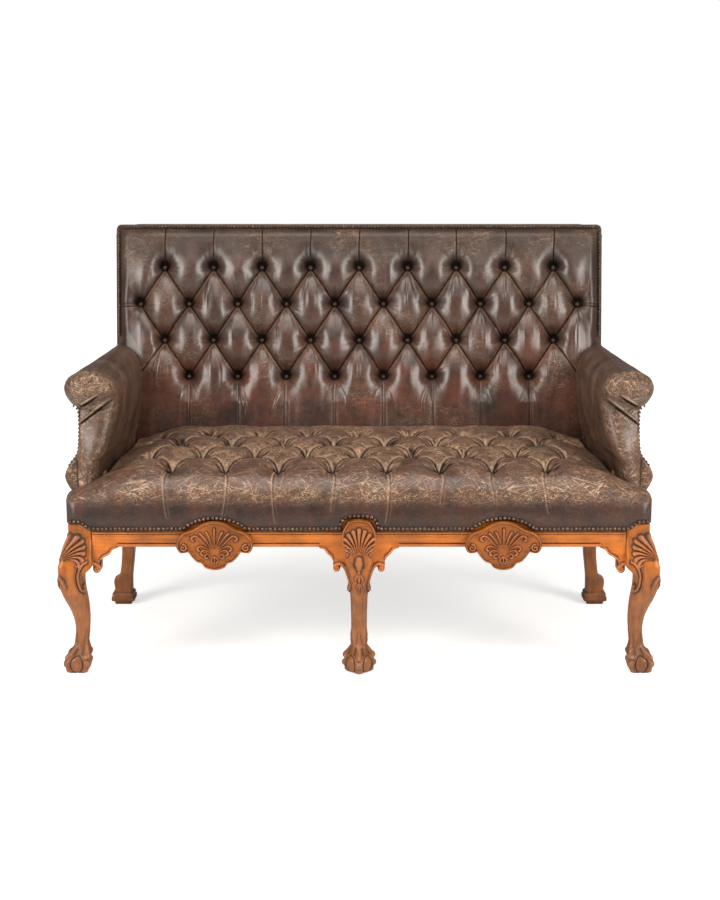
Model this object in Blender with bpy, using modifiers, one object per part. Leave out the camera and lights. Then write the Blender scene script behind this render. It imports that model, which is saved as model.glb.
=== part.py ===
"""Button-tufted leather settee on five carved legs, built as the joiner and the upholsterer build it.

Units are metres. +Z is up, the settee faces -Y, and the origin is on the floor, in the middle of the
footprint. Left and right are as seen from the front. Run with: blender --background --python part.py
"""

import math

import bmesh
import bpy
from mathutils import Vector

# Overall sizes
FRONT_WIDTH = 1.400            # across the two front corner posts
REAR_WIDTH = 1.300             # across the two rear stiles
FRONT_DEPTH = 0.327            # origin forward to the face of the front rail
REAR_DEPTH = 0.2147            # origin back to the front face of the rear stiles, at the seat rail
BACK_HEIGHT = 1.048            # floor to the top of the back frame
BACK_RAKE = math.radians(9.0)  # lean of the back from upright
CLEARANCE = 0.0003             # gap kept between pieces that touch

# Seat frame
RAIL_BOTTOM = 0.316
RAIL_HEIGHT = 0.095
RAIL_THICKNESS = 0.034
SHOW_WOOD_HEIGHT = 0.040       # bare lower part of a rail, below the leather
REBATE = 0.008                 # depth of the step that takes the leather
BEAD_HEIGHT = 0.007            # bead along the lower edge of the front rail
BEAD_DEPTH = 0.003
TENON_LENGTH = 0.022
TENON_HEIGHT = 0.045
TENON_THICKNESS = 0.010
POST_SIZE = 0.058              # square section of a front corner post
POST_LEATHER_HEIGHT = 0.040    # top of the post that the leather covers
STILE_WIDTH = 0.045
STILE_DEPTH = 0.040
BLOCK_LEG = 0.070              # side of a triangular corner block
BLOCK_HEIGHT = 0.040
MEDIAL_RAIL_HEIGHT = 0.050

# Front legs
KNEE_FORWARD = 0.023           # how far the knee swings out of the post's line
KNEE_HALF = 0.031
ANKLE_HALF = 0.017
FOOT_HALF = 0.039
FOOT_HEIGHT = 0.066
FOOT_FORWARD = 0.014
LEG_SIDES = 24
CENTRE_LEG_HALF_WIDTH = 0.034
CENTRE_LEG_DEPTH = 0.060
BRACKET_WIDTH = 0.062
BRACKET_THICKNESS = 0.030

# Carved shell panels on the front rail
SHELL_X = 0.3465               # middle of a panel from the settee's middle
SHELL_HALF_WIDTH = 0.091
SHELL_DROP = 0.053             # below the rail's underside
SHELL_RISE = 0.025             # above the show wood's top edge
SHELL_THICKNESS = 0.016
SHELL_RELIEF = 0.006
KNEE_PLATE_HALF_WIDTH = 0.043
KNEE_PLATE_THICKNESS = 0.020

# Rear legs
REAR_FOOT_HALF = 0.0335
REAR_FOOT_HEIGHT = 0.034
REAR_FOOT_BACK = 0.046         # how far the foot stands behind the stile
REAR_FOOT_OUT = 0.0265         # how far the foot stands outside the stile
REAR_LEG_HALF = 0.0205
REAR_SCROLL = 0.012            # heel scroll on the outer side

# Back frame
BACK_RAIL_HEIGHT = 0.055
BACK_RAIL_THICKNESS = 0.030
BACK_LOWER_RAIL_RISE = 0.075   # seat rail's top to the back's lower rail
MUNTIN_WIDTH = 0.050
SHEET_THICKNESS = 0.0015       # hessian, webbing and dust cover
LEATHER_THICKNESS = 0.0030
WEB_WIDTH = 0.050
WEB_LAP = 0.010                # how far a sheet lies on the rail it is tacked to

# Buttoning, shared by the back and the seat
BUTTONS_ACROSS = 9.96          # button pitches in the width of the back
LINE_LIFT = 0.45               # how far a pleat rises between two buttons, of the puff's height

# Back pad, in the plane of the back frame
BACK_ROWS_DEEP = 4.89          # row pitches from the first row to the lower edge
BACK_FIRST_ROW = 0.118         # top edge to the first row of buttons
BACK_ROW_COUNTS = (9, 10, 9, 8)
BACK_PAD_EDGE = 0.012
BACK_PAD_BUTTON_DEPTH = 0.022  # pad thickness under a button
BACK_PAD_PUFF = 0.034          # rise of a puff above its buttons
BACK_PAD_LUMBAR = 0.014        # extra thickness towards the seat
BACK_PAD_START = 0.050         # lower edge above the seat rails
GIMP_WIDTH = 0.012
GIMP_THICKNESS = 0.0025

# Seat pad
SEAT_ROW_PITCH = 0.100
SEAT_FIRST_ROW = 0.095         # rail face to the first row of buttons
SEAT_ROW_COUNTS = (8, 9, 8, 9)
SEAT_EDGE_HEIGHT = 0.040       # rail's top to the rolled front edge
SEAT_BUTTON_FRONT = 0.070      # rail's top to the first row of buttons
SEAT_BUTTON_REAR = 0.094       # rail's top to the last row of buttons
SEAT_PUFF = 0.020
SEAT_FRONT_BULGE = 0.005

# Springs
SPRING_ROWS = 2
SPRING_COLUMNS = 6
SPRING_RADIUS = 0.034
SPRING_WAIST = 0.6
SPRING_WIRE = 0.0022
SPRING_TURNS = 2.5
SPRING_STEPS = 8

# Arms
ARM_SETBACK = 0.100            # rail face to the arm's front
ARM_HEIGHT = 0.313             # rail's top to the top of the scroll
ARM_FRONT_SLAB = 0.034         # padding in front of the arm's post
ARM_FRAME_DEPTH = 0.046        # room for the frame inside the arm's outer side
ARM_POST_DEPTH = 0.040
ARM_POST_THICKNESS = 0.030
ARM_RAIL_HEIGHT = 0.032

# Values that follow from those above
RAIL_FACE_Y = -FRONT_DEPTH
STILE_FACE_Y = REAR_DEPTH
RAIL_TOP = RAIL_BOTTOM + RAIL_HEIGHT
SHOW_WOOD_TOP = RAIL_BOTTOM + SHOW_WOOD_HEIGHT
POST_CENTRE_Y = RAIL_FACE_Y + POST_SIZE / 2
POST_BACK_Y = RAIL_FACE_Y + POST_SIZE
STILE_BACK_Y = STILE_FACE_Y + STILE_DEPTH
ARM_FRONT_Y = RAIL_FACE_Y + ARM_SETBACK
DECK_Z = RAIL_TOP + CLEARANCE + SHEET_THICKNESS + CLEARANCE
BACK_LENGTH = (BACK_HEIGHT - RAIL_TOP) / math.cos(BACK_RAKE)
SIDE_SLOPE = (FRONT_WIDTH - REAR_WIDTH) / 2 / (STILE_FACE_Y - RAIL_FACE_Y)
REAR_RAIL_FACE_Y = STILE_FACE_Y + 0.003
REAR_RAIL_BACK_Y = STILE_BACK_Y - 0.003
SIDES = (("left", -1), ("right", 1))

# Tenons: each is given by its middle, at the shoulder, and by its whole size, half of it inside the rail
TENON_ALONG_X = (2 * TENON_LENGTH, TENON_THICKNESS, TENON_HEIGHT)
TENON_ALONG_Y = (TENON_THICKNESS, 2 * TENON_LENGTH, TENON_HEIGHT)
RAIL_MID_Z = RAIL_BOTTOM + RAIL_HEIGHT / 2
TENON_INSET = REBATE + TENON_THICKNESS / 2 + 0.001
FRONT_TENON_X = FRONT_WIDTH / 2 - POST_SIZE
REAR_TENON_X = REAR_WIDTH / 2 - STILE_WIDTH
REAR_TENON_Y = (REAR_RAIL_FACE_Y + REAR_RAIL_BACK_Y) / 2
FRONT_TENONS = [(sign * FRONT_TENON_X, RAIL_FACE_Y + TENON_INSET, RAIL_MID_Z) for _, sign in SIDES]
REAR_TENONS = [(sign * REAR_TENON_X, REAR_TENON_Y, RAIL_MID_Z) for _, sign in SIDES]

# Pads and arms
BUTTON_PITCH = REAR_WIDTH / BUTTONS_ACROSS
BACK_ROW_PITCH = (BACK_LENGTH - BACK_FIRST_ROW - BACK_PAD_START) / BACK_ROWS_DEEP
PAD_MARGIN = 0.014             # flat border of the back pad, under the gimp
BACK_DECK = 3 * CLEARANCE + 2.4 * SHEET_THICKNESS
BACK_ROW_S = [BACK_LENGTH - BACK_FIRST_ROW - row * BACK_ROW_PITCH for row in range(len(BACK_ROW_COUNTS))]
BACK_PAD_MOST = BACK_DECK + BACK_PAD_BUTTON_DEPTH + BACK_PAD_PUFF + BACK_PAD_LUMBAR
SEAT_REAR_Y = (STILE_FACE_Y + BACK_PAD_START * math.sin(BACK_RAKE) - BACK_PAD_MOST * math.cos(BACK_RAKE)
               - 3 * CLEARANCE)
WEB_FRONT_Y = RAIL_FACE_Y + BRACKET_THICKNESS + CLEARANCE
ARM_INNER_FRONT = 0.055        # inside of the arm at the seat, from the side of the frame
ARM_INNER_REAR = 0.063
ARM_FIT = 0.002                # gap left in the back pad round the end of an arm
ARM_FRAME_HEIGHT = ARM_HEIGHT * 0.7093  # rail's top to the top of the arm's frame, under the scroll

# Colours are linear, with roughness and metallic value
FINISHES = {
    "carved_wood": ((0.33, 0.12, 0.035), 0.42, 0.0),
    "frame_beech": ((0.42, 0.26, 0.13), 0.70, 0.0),
    "leather": ((0.085, 0.050, 0.035), 0.40, 0.0),
    "gimp_leather": ((0.050, 0.030, 0.022), 0.50, 0.0),
    "hessian": ((0.36, 0.25, 0.14), 0.95, 0.0),
    "jute_web": ((0.40, 0.30, 0.18), 0.95, 0.0),
    "spring_steel": ((0.45, 0.42, 0.38), 0.35, 1.0),
    "dust_cloth": ((0.02, 0.02, 0.02), 0.95, 0.0),
}


def side_x(y):
    """Distance of the seat frame's outer side from the middle: it narrows towards the back."""
    return FRONT_WIDTH / 2 - (y - RAIL_FACE_Y) * SIDE_SLOPE


def stile_face_y(z):
    """Front face of the raked back frame at a height above the seat rails."""
    return STILE_FACE_Y + (z - RAIL_TOP) * math.tan(BACK_RAKE)


def smooth(t):
    """Eases from 0 to 1, level at both ends."""
    t = min(1.0, max(0.0, t))
    return t * t * (3 - 2 * t)


def between(table, at):
    """Value at a place along a table of (place, value) pairs, on straight runs."""
    for (a, low), (b, high) in zip(table, table[1:]):
        if at <= b:
            return low + (high - low) * (at - a) / (b - a)
    return table[-1][1]


# Scene, materials and mesh helpers

def clear_scene():
    for obj in list(bpy.data.objects):
        bpy.data.objects.remove(obj, do_unlink=True)


def new_collection(name, hidden=False):
    collection = bpy.data.collections.new(name)
    bpy.context.scene.collection.children.link(collection)
    collection.hide_render = hidden
    return collection


def finish_material(name):
    found = bpy.data.materials.get(name)
    if found:
        return found
    colour, roughness, metallic = FINISHES[name]
    material = bpy.data.materials.new(name)
    material.use_nodes = True
    shader = material.node_tree.nodes["Principled BSDF"]
    shader.inputs["Base Color"].default_value = (*colour, 1.0)
    shader.inputs["Roughness"].default_value = roughness
    shader.inputs["Metallic"].default_value = metallic
    material.diffuse_color = (*colour, 1.0)
    return material


def add_mesh(name, bm, finish, parent=None, smooth_angle=None):
    """Turns a bmesh into a named piece in the settee's collection."""
    mesh = bpy.data.meshes.new(name)
    bmesh.ops.recalc_face_normals(bm, faces=bm.faces)
    bm.to_mesh(mesh)
    bm.free()
    obj = bpy.data.objects.new(name, mesh)
    PARTS.objects.link(obj)
    mesh.materials.append(finish_material(finish))
    obj.parent = parent
    if smooth_angle is not None:
        mesh.shade_smooth()
        mesh.set_sharp_from_angle(angle=math.radians(smooth_angle))
    return obj


def make_cutter(obj):
    """Takes a piece out of the settee and keeps it as a tool for a Boolean."""
    PARTS.objects.unlink(obj)
    CUTTERS.objects.link(obj)
    obj.hide_render = True
    obj.display_type = "WIRE"
    return obj


def add_box(bm, low, high):
    """A box between two corners."""
    low, high = Vector(low), Vector(high)
    made = bmesh.ops.create_cube(bm, size=1.0)["verts"]
    bmesh.ops.scale(bm, vec=high - low, verts=made)
    bmesh.ops.translate(bm, vec=(low + high) / 2, verts=made)
    return made


def box_piece(name, low, high, finish, parent=None):
    bm = bmesh.new()
    add_box(bm, low, high)
    return add_mesh(name, bm, finish, parent)


def boolean(obj, tool, operation="DIFFERENCE"):
    modifier = obj.modifiers.new(f"{operation.lower()} {tool.name}", "BOOLEAN")
    modifier.operation = operation
    modifier.object = tool
    return modifier


def loft(bm, rings):
    """Skins a row of rings with the same number of points, and closes both ends."""
    loops = [[bm.verts.new(point) for point in ring] for ring in rings]
    for low, high in zip(loops, loops[1:]):
        count = len(low)
        for i in range(count):
            j = (i + 1) % count
            bm.faces.new((low[i], low[j], high[j], high[i]))
    bm.faces.new(reversed(loops[0]))
    bm.faces.new(loops[-1])


def flat_piece(name, points, thickness, finish, location, rotation, parent=None, handles=None):
    """An outline in its own plane, given its thickness to both sides, with smooth or sharp points."""
    curve = bpy.data.curves.new(name, "CURVE")
    curve.dimensions = "2D"
    curve.fill_mode = "BOTH"
    curve.extrude = thickness / 2
    if handles:
        spline = curve.splines.new("BEZIER")
        spline.bezier_points.add(len(points) - 1)
        for point, place, kind in zip(spline.bezier_points, points, handles):
            point.co = (*place, 0)
            point.handle_left_type = kind
            point.handle_right_type = kind
        curve.resolution_u = 4
    else:
        spline = curve.splines.new("POLY")
        spline.points.add(len(points) - 1)
        for point, place in zip(spline.points, points):
            point.co = (*place, 0, 1)
    spline.use_cyclic_u = True
    curve.materials.append(finish_material(finish))
    obj = bpy.data.objects.new(name, curve)
    PARTS.objects.link(obj)
    obj.location = location
    obj.rotation_euler = rotation
    obj.parent = parent
    return obj


# Seat frame

def rail_section(outer, inward):
    """Section of a show-wood rail in X and Z: bare lower part, and a rebate for the leather above it."""
    back = outer + inward * RAIL_THICKNESS
    step = outer + inward * REBATE
    points = [(outer, RAIL_BOTTOM), (outer, SHOW_WOOD_TOP), (step, SHOW_WOOD_TOP), (step, RAIL_TOP)]
    return points + [(back, RAIL_TOP), (back, RAIL_BOTTOM)]


def tenon_box(bm, centre, size, slope=0.0):
    """A box about a centre, sheared in X along Y when it belongs to a slanting rail."""
    half = Vector(size) / 2
    centre = Vector(centre)
    made = add_box(bm, centre - half, centre + half)
    for vert in made:
        vert.co.x += slope * (vert.co.y - centre.y)


def cut_mortise(obj, centre, size, slope=0.0, parent=None):
    """Cuts the pocket for a tenon, larger than the tenon by the clearance all round."""
    bm = bmesh.new()
    tenon_box(bm, centre, [value + 2 * CLEARANCE for value in size], slope)
    tool = make_cutter(add_mesh(f"mortise in {obj.name}", bm, "frame_beech", parent))
    boolean(obj, tool)


def union_tenons(obj, boxes, slope=0.0, parent=None):
    """Grows tenons out of a rail: each reaches back into the rail so that the two become one body."""
    for centre, size in boxes:
        bm = bmesh.new()
        tenon_box(bm, centre, size, slope)
        tool = make_cutter(add_mesh(f"tenon of {obj.name}", bm, "frame_beech", parent))
        boolean(obj, tool, "UNION")


def build_seat_frame():
    """Rails, medial rail and corner blocks; returns the rails that others are cut for."""
    post_inner = FRONT_WIDTH / 2 - POST_SIZE
    face, back = RAIL_FACE_Y, RAIL_FACE_Y + RAIL_THICKNESS
    bead = face - BEAD_DEPTH
    section = [(bead, RAIL_BOTTOM), (bead, RAIL_BOTTOM + BEAD_HEIGHT), (face, RAIL_BOTTOM + BEAD_HEIGHT),
               (face, SHOW_WOOD_TOP), (face + REBATE, SHOW_WOOD_TOP), (face + REBATE, RAIL_TOP),
               (back, RAIL_TOP), (back, RAIL_BOTTOM)]
    half = post_inner - CLEARANCE
    bm = bmesh.new()
    loft(bm, [[(x, y, z) for y, z in section] for x in (-half, half)])
    front_rail = add_mesh("front_rail", bm, "carved_wood")
    union_tenons(front_rail, [(centre, TENON_ALONG_X) for centre in FRONT_TENONS])

    rear_half = REAR_WIDTH / 2 - STILE_WIDTH - CLEARANCE
    low = (-rear_half, REAR_RAIL_FACE_Y, RAIL_BOTTOM)
    rear_rail = box_piece("rear_rail", low, (rear_half, REAR_RAIL_BACK_Y, RAIL_TOP), "frame_beech")
    union_tenons(rear_rail, [(centre, TENON_ALONG_X) for centre in REAR_TENONS])

    for side, sign in SIDES:
        bm = bmesh.new()
        stations = (POST_BACK_Y + CLEARANCE, STILE_FACE_Y - CLEARANCE)
        loft(bm, [[(sign * x, y, z) for x, z in rail_section(side_x(y), -1)] for y in stations])
        rail = add_mesh(f"side_rail_{side}", bm, "carved_wood")
        boxes = [(centre, TENON_ALONG_Y) for centre in side_tenons(sign)]
        union_tenons(rail, boxes, -sign * SIDE_SLOPE)

    low = (-RAIL_THICKNESS / 2, back + CLEARANCE, RAIL_TOP - MEDIAL_RAIL_HEIGHT)
    high = (RAIL_THICKNESS / 2, REAR_RAIL_FACE_Y - CLEARANCE, RAIL_TOP)
    medial = box_piece("medial_rail", low, high, "frame_beech")
    size = (TENON_THICKNESS, TENON_LENGTH, MEDIAL_RAIL_HEIGHT / 2)
    for y, rail in ((low[1], front_rail), (high[1], rear_rail)):
        centre = (0, y, RAIL_TOP - MEDIAL_RAIL_HEIGHT / 2)
        union_tenons(medial, [(centre, size)])
        cut_mortise(rail, centre, size)
    return front_rail


def side_tenons(sign):
    """Middles of the two tenons of a side rail, each half inside the rail."""
    height = RAIL_BOTTOM + RAIL_HEIGHT / 2
    return [(sign * (side_x(y) - TENON_INSET), y, height) for y in (POST_BACK_Y, STILE_FACE_Y)]


def build_corner_blocks():
    """Blocks glued into the four corners of the seat frame, notched round the posts."""
    gap = CLEARANCE
    for side, sign in SIDES:
        post_inner = FRONT_WIDTH / 2 - POST_SIZE
        rail_back = RAIL_FACE_Y + RAIL_THICKNESS
        reach_y = POST_BACK_Y + BLOCK_LEG
        front = [(post_inner - gap, rail_back + gap), (post_inner - BLOCK_LEG, rail_back + gap),
                 (side_x(reach_y) - RAIL_THICKNESS - gap, reach_y),
                 (side_x(POST_BACK_Y) - RAIL_THICKNESS - gap, POST_BACK_Y + gap),
                 (post_inner - gap, POST_BACK_Y + gap)]
        stile_inner = REAR_WIDTH / 2 - STILE_WIDTH
        reach_y = STILE_FACE_Y - BLOCK_LEG
        rear = [(stile_inner - gap, REAR_RAIL_FACE_Y - gap),
                (stile_inner - BLOCK_LEG, REAR_RAIL_FACE_Y - gap),
                (side_x(reach_y) - RAIL_THICKNESS - gap, reach_y),
                (side_x(STILE_FACE_Y) - RAIL_THICKNESS - gap, STILE_FACE_Y - gap),
                (stile_inner - gap, STILE_FACE_Y - gap)]
        z = RAIL_BOTTOM + RAIL_HEIGHT / 2
        for place, outline in (("front", front), ("rear", rear)):
            points = [(sign * x, y) for x, y in outline]
            name = f"corner_block_{place}_{side}"
            flat_piece(name, points, BLOCK_HEIGHT, "frame_beech", (0, 0, z), (0, 0, 0))


# Legs

def ring(centre, half, square, z):
    """One section of a leg: square 2 is an ellipse, larger values are squarer."""
    points = []
    for i in range(LEG_SIDES):
        angle = math.tau * i / LEG_SIDES
        c, s = math.cos(angle), math.sin(angle)
        reach = (abs(c) ** square + abs(s) ** square) ** (-1 / square)
        points.append((centre[0] + half[0] * c * reach, centre[1] + half[1] * s * reach, z))
    return points


# Share of the foot's height, reach of the ball and reach of a talon, of half the foot's width
FOOT_STATIONS = ((0.0, 0.50, 0.72), (0.10, 0.70, 0.92), (0.24, 0.82, 0.95), (0.42, 0.86, 1.0),
                 (0.58, 0.82, 0.90), (0.74, 0.68, 0.88), (0.88, 0.57, 0.68), (1.0, 0.52, 0.54))


def foot_rings(centre, facing):
    """Claw-and-ball foot: a ball gripped by four talons, each a ridge with two knuckles."""
    rings = []
    for share, ball, talon in FOOT_STATIONS:
        points = []
        z = share * FOOT_HEIGHT
        for i in range(LEG_SIDES):
            angle = math.tau * i / LEG_SIDES
            off = (math.degrees(angle) - facing + 45) % 90 - 45
            grip = math.exp(-(off / 14) ** 2)
            reach = FOOT_HALF * (ball + (talon - ball) * grip)
            points.append((centre[0] + reach * math.cos(angle), centre[1] + reach * math.sin(angle), z))
        rings.append(points)
    return rings


def build_corner_leg(side, sign):
    """Cabriole leg and post in one: the knee and the foot swing out along the corner's diagonal."""
    x, y = sign * (FRONT_WIDTH - POST_SIZE) / 2, POST_CENTRE_Y
    post = POST_SIZE / 2

    def at(swing):
        return (x + sign * swing, y - swing)

    rings = foot_rings(at(FOOT_FORWARD), 225 if sign < 0 else 315)
    knee_z = RAIL_BOTTOM * 0.783
    shank = ((0.00, 0.00, ANKLE_HALF, 2.2), (0.15, -0.04, ANKLE_HALF, 2.2),
             (0.33, 0.08, ANKLE_HALF * 1.18, 2.4), (0.49, 0.33, ANKLE_HALF * 1.42, 2.6),
             (0.64, 0.65, ANKLE_HALF * 1.66, 3.0), (0.81, 0.93, KNEE_HALF * 0.975, 3.4),
             (1.00, 1.00, KNEE_HALF, 4.0))
    low = FOOT_HEIGHT * 1.18
    for share, swing, half, square in shank:
        rings.append(ring(at(swing * KNEE_FORWARD), (half, half), square, low + (knee_z - low) * share))
    for share, swing in ((0.35, 0.52), (0.70, 0.33), (1.00, 0.20), (1.35, 0.0)):
        half = post + swing * KNEE_FORWARD
        z = knee_z + (RAIL_BOTTOM - knee_z) * share
        rings.append(ring(at(swing * KNEE_FORWARD), (half, half), 60, z))
    step_z = RAIL_TOP - POST_LEATHER_HEIGHT
    rings.append(ring(at(0), (post, post), 60, step_z))
    inset = post - REBATE / 2
    for z in (step_z + 2 * CLEARANCE, RAIL_TOP):
        rings.append(ring(at(-REBATE / 2), (inset, inset), 60, z))
    bm = bmesh.new()
    loft(bm, rings)
    leg = add_mesh(f"front_leg_{side}", bm, "carved_wood", smooth_angle=35)
    cut_mortise(leg, FRONT_TENONS[0 if sign < 0 else 1], TENON_ALONG_X)
    cut_mortise(leg, side_tenons(sign)[0], TENON_ALONG_Y, -sign * SIDE_SLOPE)


def build_centre_leg(front_rail):
    """The middle front leg stands under the rail and is tenoned up into it."""
    y = POST_CENTRE_Y - FOOT_FORWARD / 2
    rings = foot_rings((0, y - FOOT_FORWARD), 270)
    low, top = FOOT_HEIGHT * 1.18, RAIL_BOTTOM - CLEARANCE
    wide = CENTRE_LEG_HALF_WIDTH
    deep = CENTRE_LEG_DEPTH / 2
    shank = ((0.00, 0.0, ANKLE_HALF, ANKLE_HALF, 2.2), (0.12, -0.04, ANKLE_HALF, ANKLE_HALF, 2.2),
             (0.27, 0.15, ANKLE_HALF * 1.03, ANKLE_HALF * 1.2, 2.2),
             (0.40, 0.50, ANKLE_HALF * 1.06, deep * 0.83, 2.4),
             (0.54, 0.85, wide * 0.59, deep * 0.95, 2.6), (0.66, 1.0, wide * 0.70, deep, 2.8),
             (0.80, 0.95, wide * 0.77, deep, 3.0), (0.91, 0.80, wide * 0.88, deep, 5.0),
             (1.0, 0.62, wide, deep, 12))
    for share, swing, half_x, half_y, square in shank:
        centre = (0, y - swing * KNEE_FORWARD)
        rings.append(ring(centre, (half_x, half_y), square, low + (top - low) * share))
    bm = bmesh.new()
    loft(bm, rings)
    leg = add_mesh("front_leg_centre", bm, "carved_wood", smooth_angle=35)
    size = (CENTRE_LEG_HALF_WIDTH, TENON_THICKNESS, 2 * TENON_LENGTH)
    centre = (0, RAIL_FACE_Y + RAIL_THICKNESS / 2, top)
    union_tenons(leg, [(centre, size)])
    cut_mortise(front_rail, centre, size)


def build_rear_leg(side, sign):
    """Rear leg and back stile in one: a moulded block foot, a sweep back and out, and the raked stile."""
    x = sign * (REAR_WIDTH - STILE_WIDTH) / 2
    mid_y = STILE_FACE_Y + STILE_DEPTH / 2
    half = (STILE_WIDTH / 2, STILE_DEPTH / 2)
    leg_half = REAR_LEG_HALF
    foot = REAR_FOOT_HALF
    foot_x, foot_y = x + sign * REAR_FOOT_OUT, mid_y + REAR_FOOT_BACK

    def block(cx, cy, z, half_x, half_y):
        return [(cx - half_x, cy - half_y, z), (cx + half_x, cy - half_y, z),
                (cx + half_x, cy + half_y, z), (cx - half_x, cy + half_y, z)]

    rings = []
    for share, spread in ((0.0, 0.66), (0.25, 0.72), (0.25, 1.0), (0.85, 1.0), (1.0, 0.86)):
        rings.append(block(foot_x, foot_y, share * REAR_FOOT_HEIGHT, foot * spread, foot * spread))
    low = REAR_FOOT_HEIGHT
    shank = ((0.0, 1.0, 0.6), (0.08, 0.99, 1.0), (0.18, 0.94, 0.35), (0.30, 0.82, 0.0),
             (0.48, 0.58, 0.0), (0.68, 0.30, 0.0), (0.88, 0.08, 0.0))
    for share, sweep, scroll in shank:
        z = low + (RAIL_BOTTOM - low) * share
        grow = scroll * REAR_SCROLL / 2
        out = grow + (1 - share) * REAR_FOOT_OUT * 0.87
        rings.append(block(x + sign * out, mid_y + sweep * REAR_FOOT_BACK, z, leg_half + grow, leg_half))
    rings.append(block(x, mid_y, RAIL_BOTTOM, *half))
    rings.append(block(x, mid_y, RAIL_TOP, *half))
    rings.append(block(x, mid_y + (BACK_HEIGHT - RAIL_TOP) * math.tan(BACK_RAKE), BACK_HEIGHT, *half))
    for i in (2, 3):
        px, py, pz = rings[-1][i]
        rings[-1][i] = (px, py - STILE_DEPTH * math.sin(BACK_RAKE) ** 2,
                        pz - STILE_DEPTH * math.sin(BACK_RAKE) * math.cos(BACK_RAKE))
    bm = bmesh.new()
    loft(bm, rings)
    leg = add_mesh(f"rear_leg_{side}", bm, "carved_wood")
    cut_mortise(leg, REAR_TENONS[0 if sign < 0 else 1], TENON_ALONG_X)
    cut_mortise(leg, side_tenons(sign)[1], TENON_ALONG_Y, -sign * SIDE_SLOPE)
    return leg


def build_brackets():
    """Scrolled ears that carry the line of each knee into the rail."""
    w, gap = BRACKET_WIDTH, CLEARANCE
    outline = [(gap, 0), (w, 0), (w * 0.86, -0.007), (w * 0.62, -0.018), (w * 0.50, -0.034),
               (w * 0.36, -0.046), (w * 0.16, -0.040), (gap, -0.050)]
    kinds = ["VECTOR", "VECTOR", "AUTO", "AUTO", "AUTO", "AUTO", "AUTO", "VECTOR"]
    z = RAIL_BOTTOM - gap
    upright = math.pi / 2
    y = RAIL_FACE_Y + BRACKET_THICKNESS / 2
    corner = FRONT_WIDTH / 2 - POST_SIZE
    wide = CENTRE_LEG_HALF_WIDTH
    places = [("front_left", -corner, y, 0), ("centre_left", -wide, y, math.pi),
              ("centre_right", wide, y, 0), ("front_right", corner, y, math.pi)]
    slant = math.atan(SIDE_SLOPE)
    for side, sign in SIDES:
        side_centre = side_x(POST_BACK_Y) - BRACKET_THICKNESS / 2 - 0.002
        clear = gap + BRACKET_THICKNESS / 2 * SIDE_SLOPE
        places.append((f"side_{side}", sign * side_centre, POST_BACK_Y + clear, upright + sign * slant))
    for name, x, depth, turn in places:
        flat_piece(f"knee_bracket_{name}", outline, BRACKET_THICKNESS, "carved_wood", (x, depth, z),
                   (upright, 0, turn), handles=kinds)


# Carved panels

def shell_panel(name, x, half_width, bottom, top, outline, thickness):
    """A panel in low relief: rings of one outline step in from its edge to a bead and a ribbed shell."""
    points = [(u * half_width, bottom + v * (top - bottom)) for u, v in outline]
    points += [(-px, pz) for px, pz in reversed(points[1:-1])]
    hinge = bottom + 0.45 * (top - bottom)
    back = RAIL_FACE_Y - BEAD_DEPTH - CLEARANCE
    steps = ((1.0, 0.0, 0), (1.0, 0.6, 0), (0.94, 1.0, 0),
             (0.86, 0.62, 0), (0.64, 0.80, 1), (0.24, 1.0, 0))
    rings = []
    for scale, rise, ribbed in steps:
        loop = []
        for i, (px, pz) in enumerate(points):
            ridge = SHELL_RELIEF * ribbed * (0.5 if i % 2 else -0.5)
            depth = back - thickness * rise - ridge
            loop.append((x + px * scale, depth, hinge + (pz - hinge) * scale))
        rings.append(loop)
    bm = bmesh.new()
    loft(bm, rings)
    return add_mesh(name, bm, "carved_wood", smooth_angle=50)


def build_shell_panels():
    """Two shell panels between the legs and the arched plate over the centre knee."""
    wide = ((0, 0), (0.20, 0.05), (0.31, 0.15), (0.46, 0.20), (0.60, 0.33), (0.78, 0.34), (0.93, 0.40),
            (1.0, 0.52), (0.95, 0.66), (0.82, 0.73), (0.62, 0.81), (0.36, 0.93), (0, 1.0))
    arch = ((0, 0), (0.4, 0), (0.8, 0), (0.86, 0.22), (1.0, 0.45), (0.94, 0.62), (0.70, 0.76),
            (0.48, 0.92), (0, 1.0))
    top = SHOW_WOOD_TOP + SHELL_RISE
    low = RAIL_BOTTOM - SHELL_DROP
    for side, sign in SIDES:
        name = f"shell_panel_{side}"
        shell_panel(name, sign * SHELL_X, SHELL_HALF_WIDTH, low, top, wide, SHELL_THICKNESS)
    half = KNEE_PLATE_HALF_WIDTH
    shell_panel("knee_plate_centre", 0, half, RAIL_BOTTOM, top, arch, KNEE_PLATE_THICKNESS)


# Back frame and its lining

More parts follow.
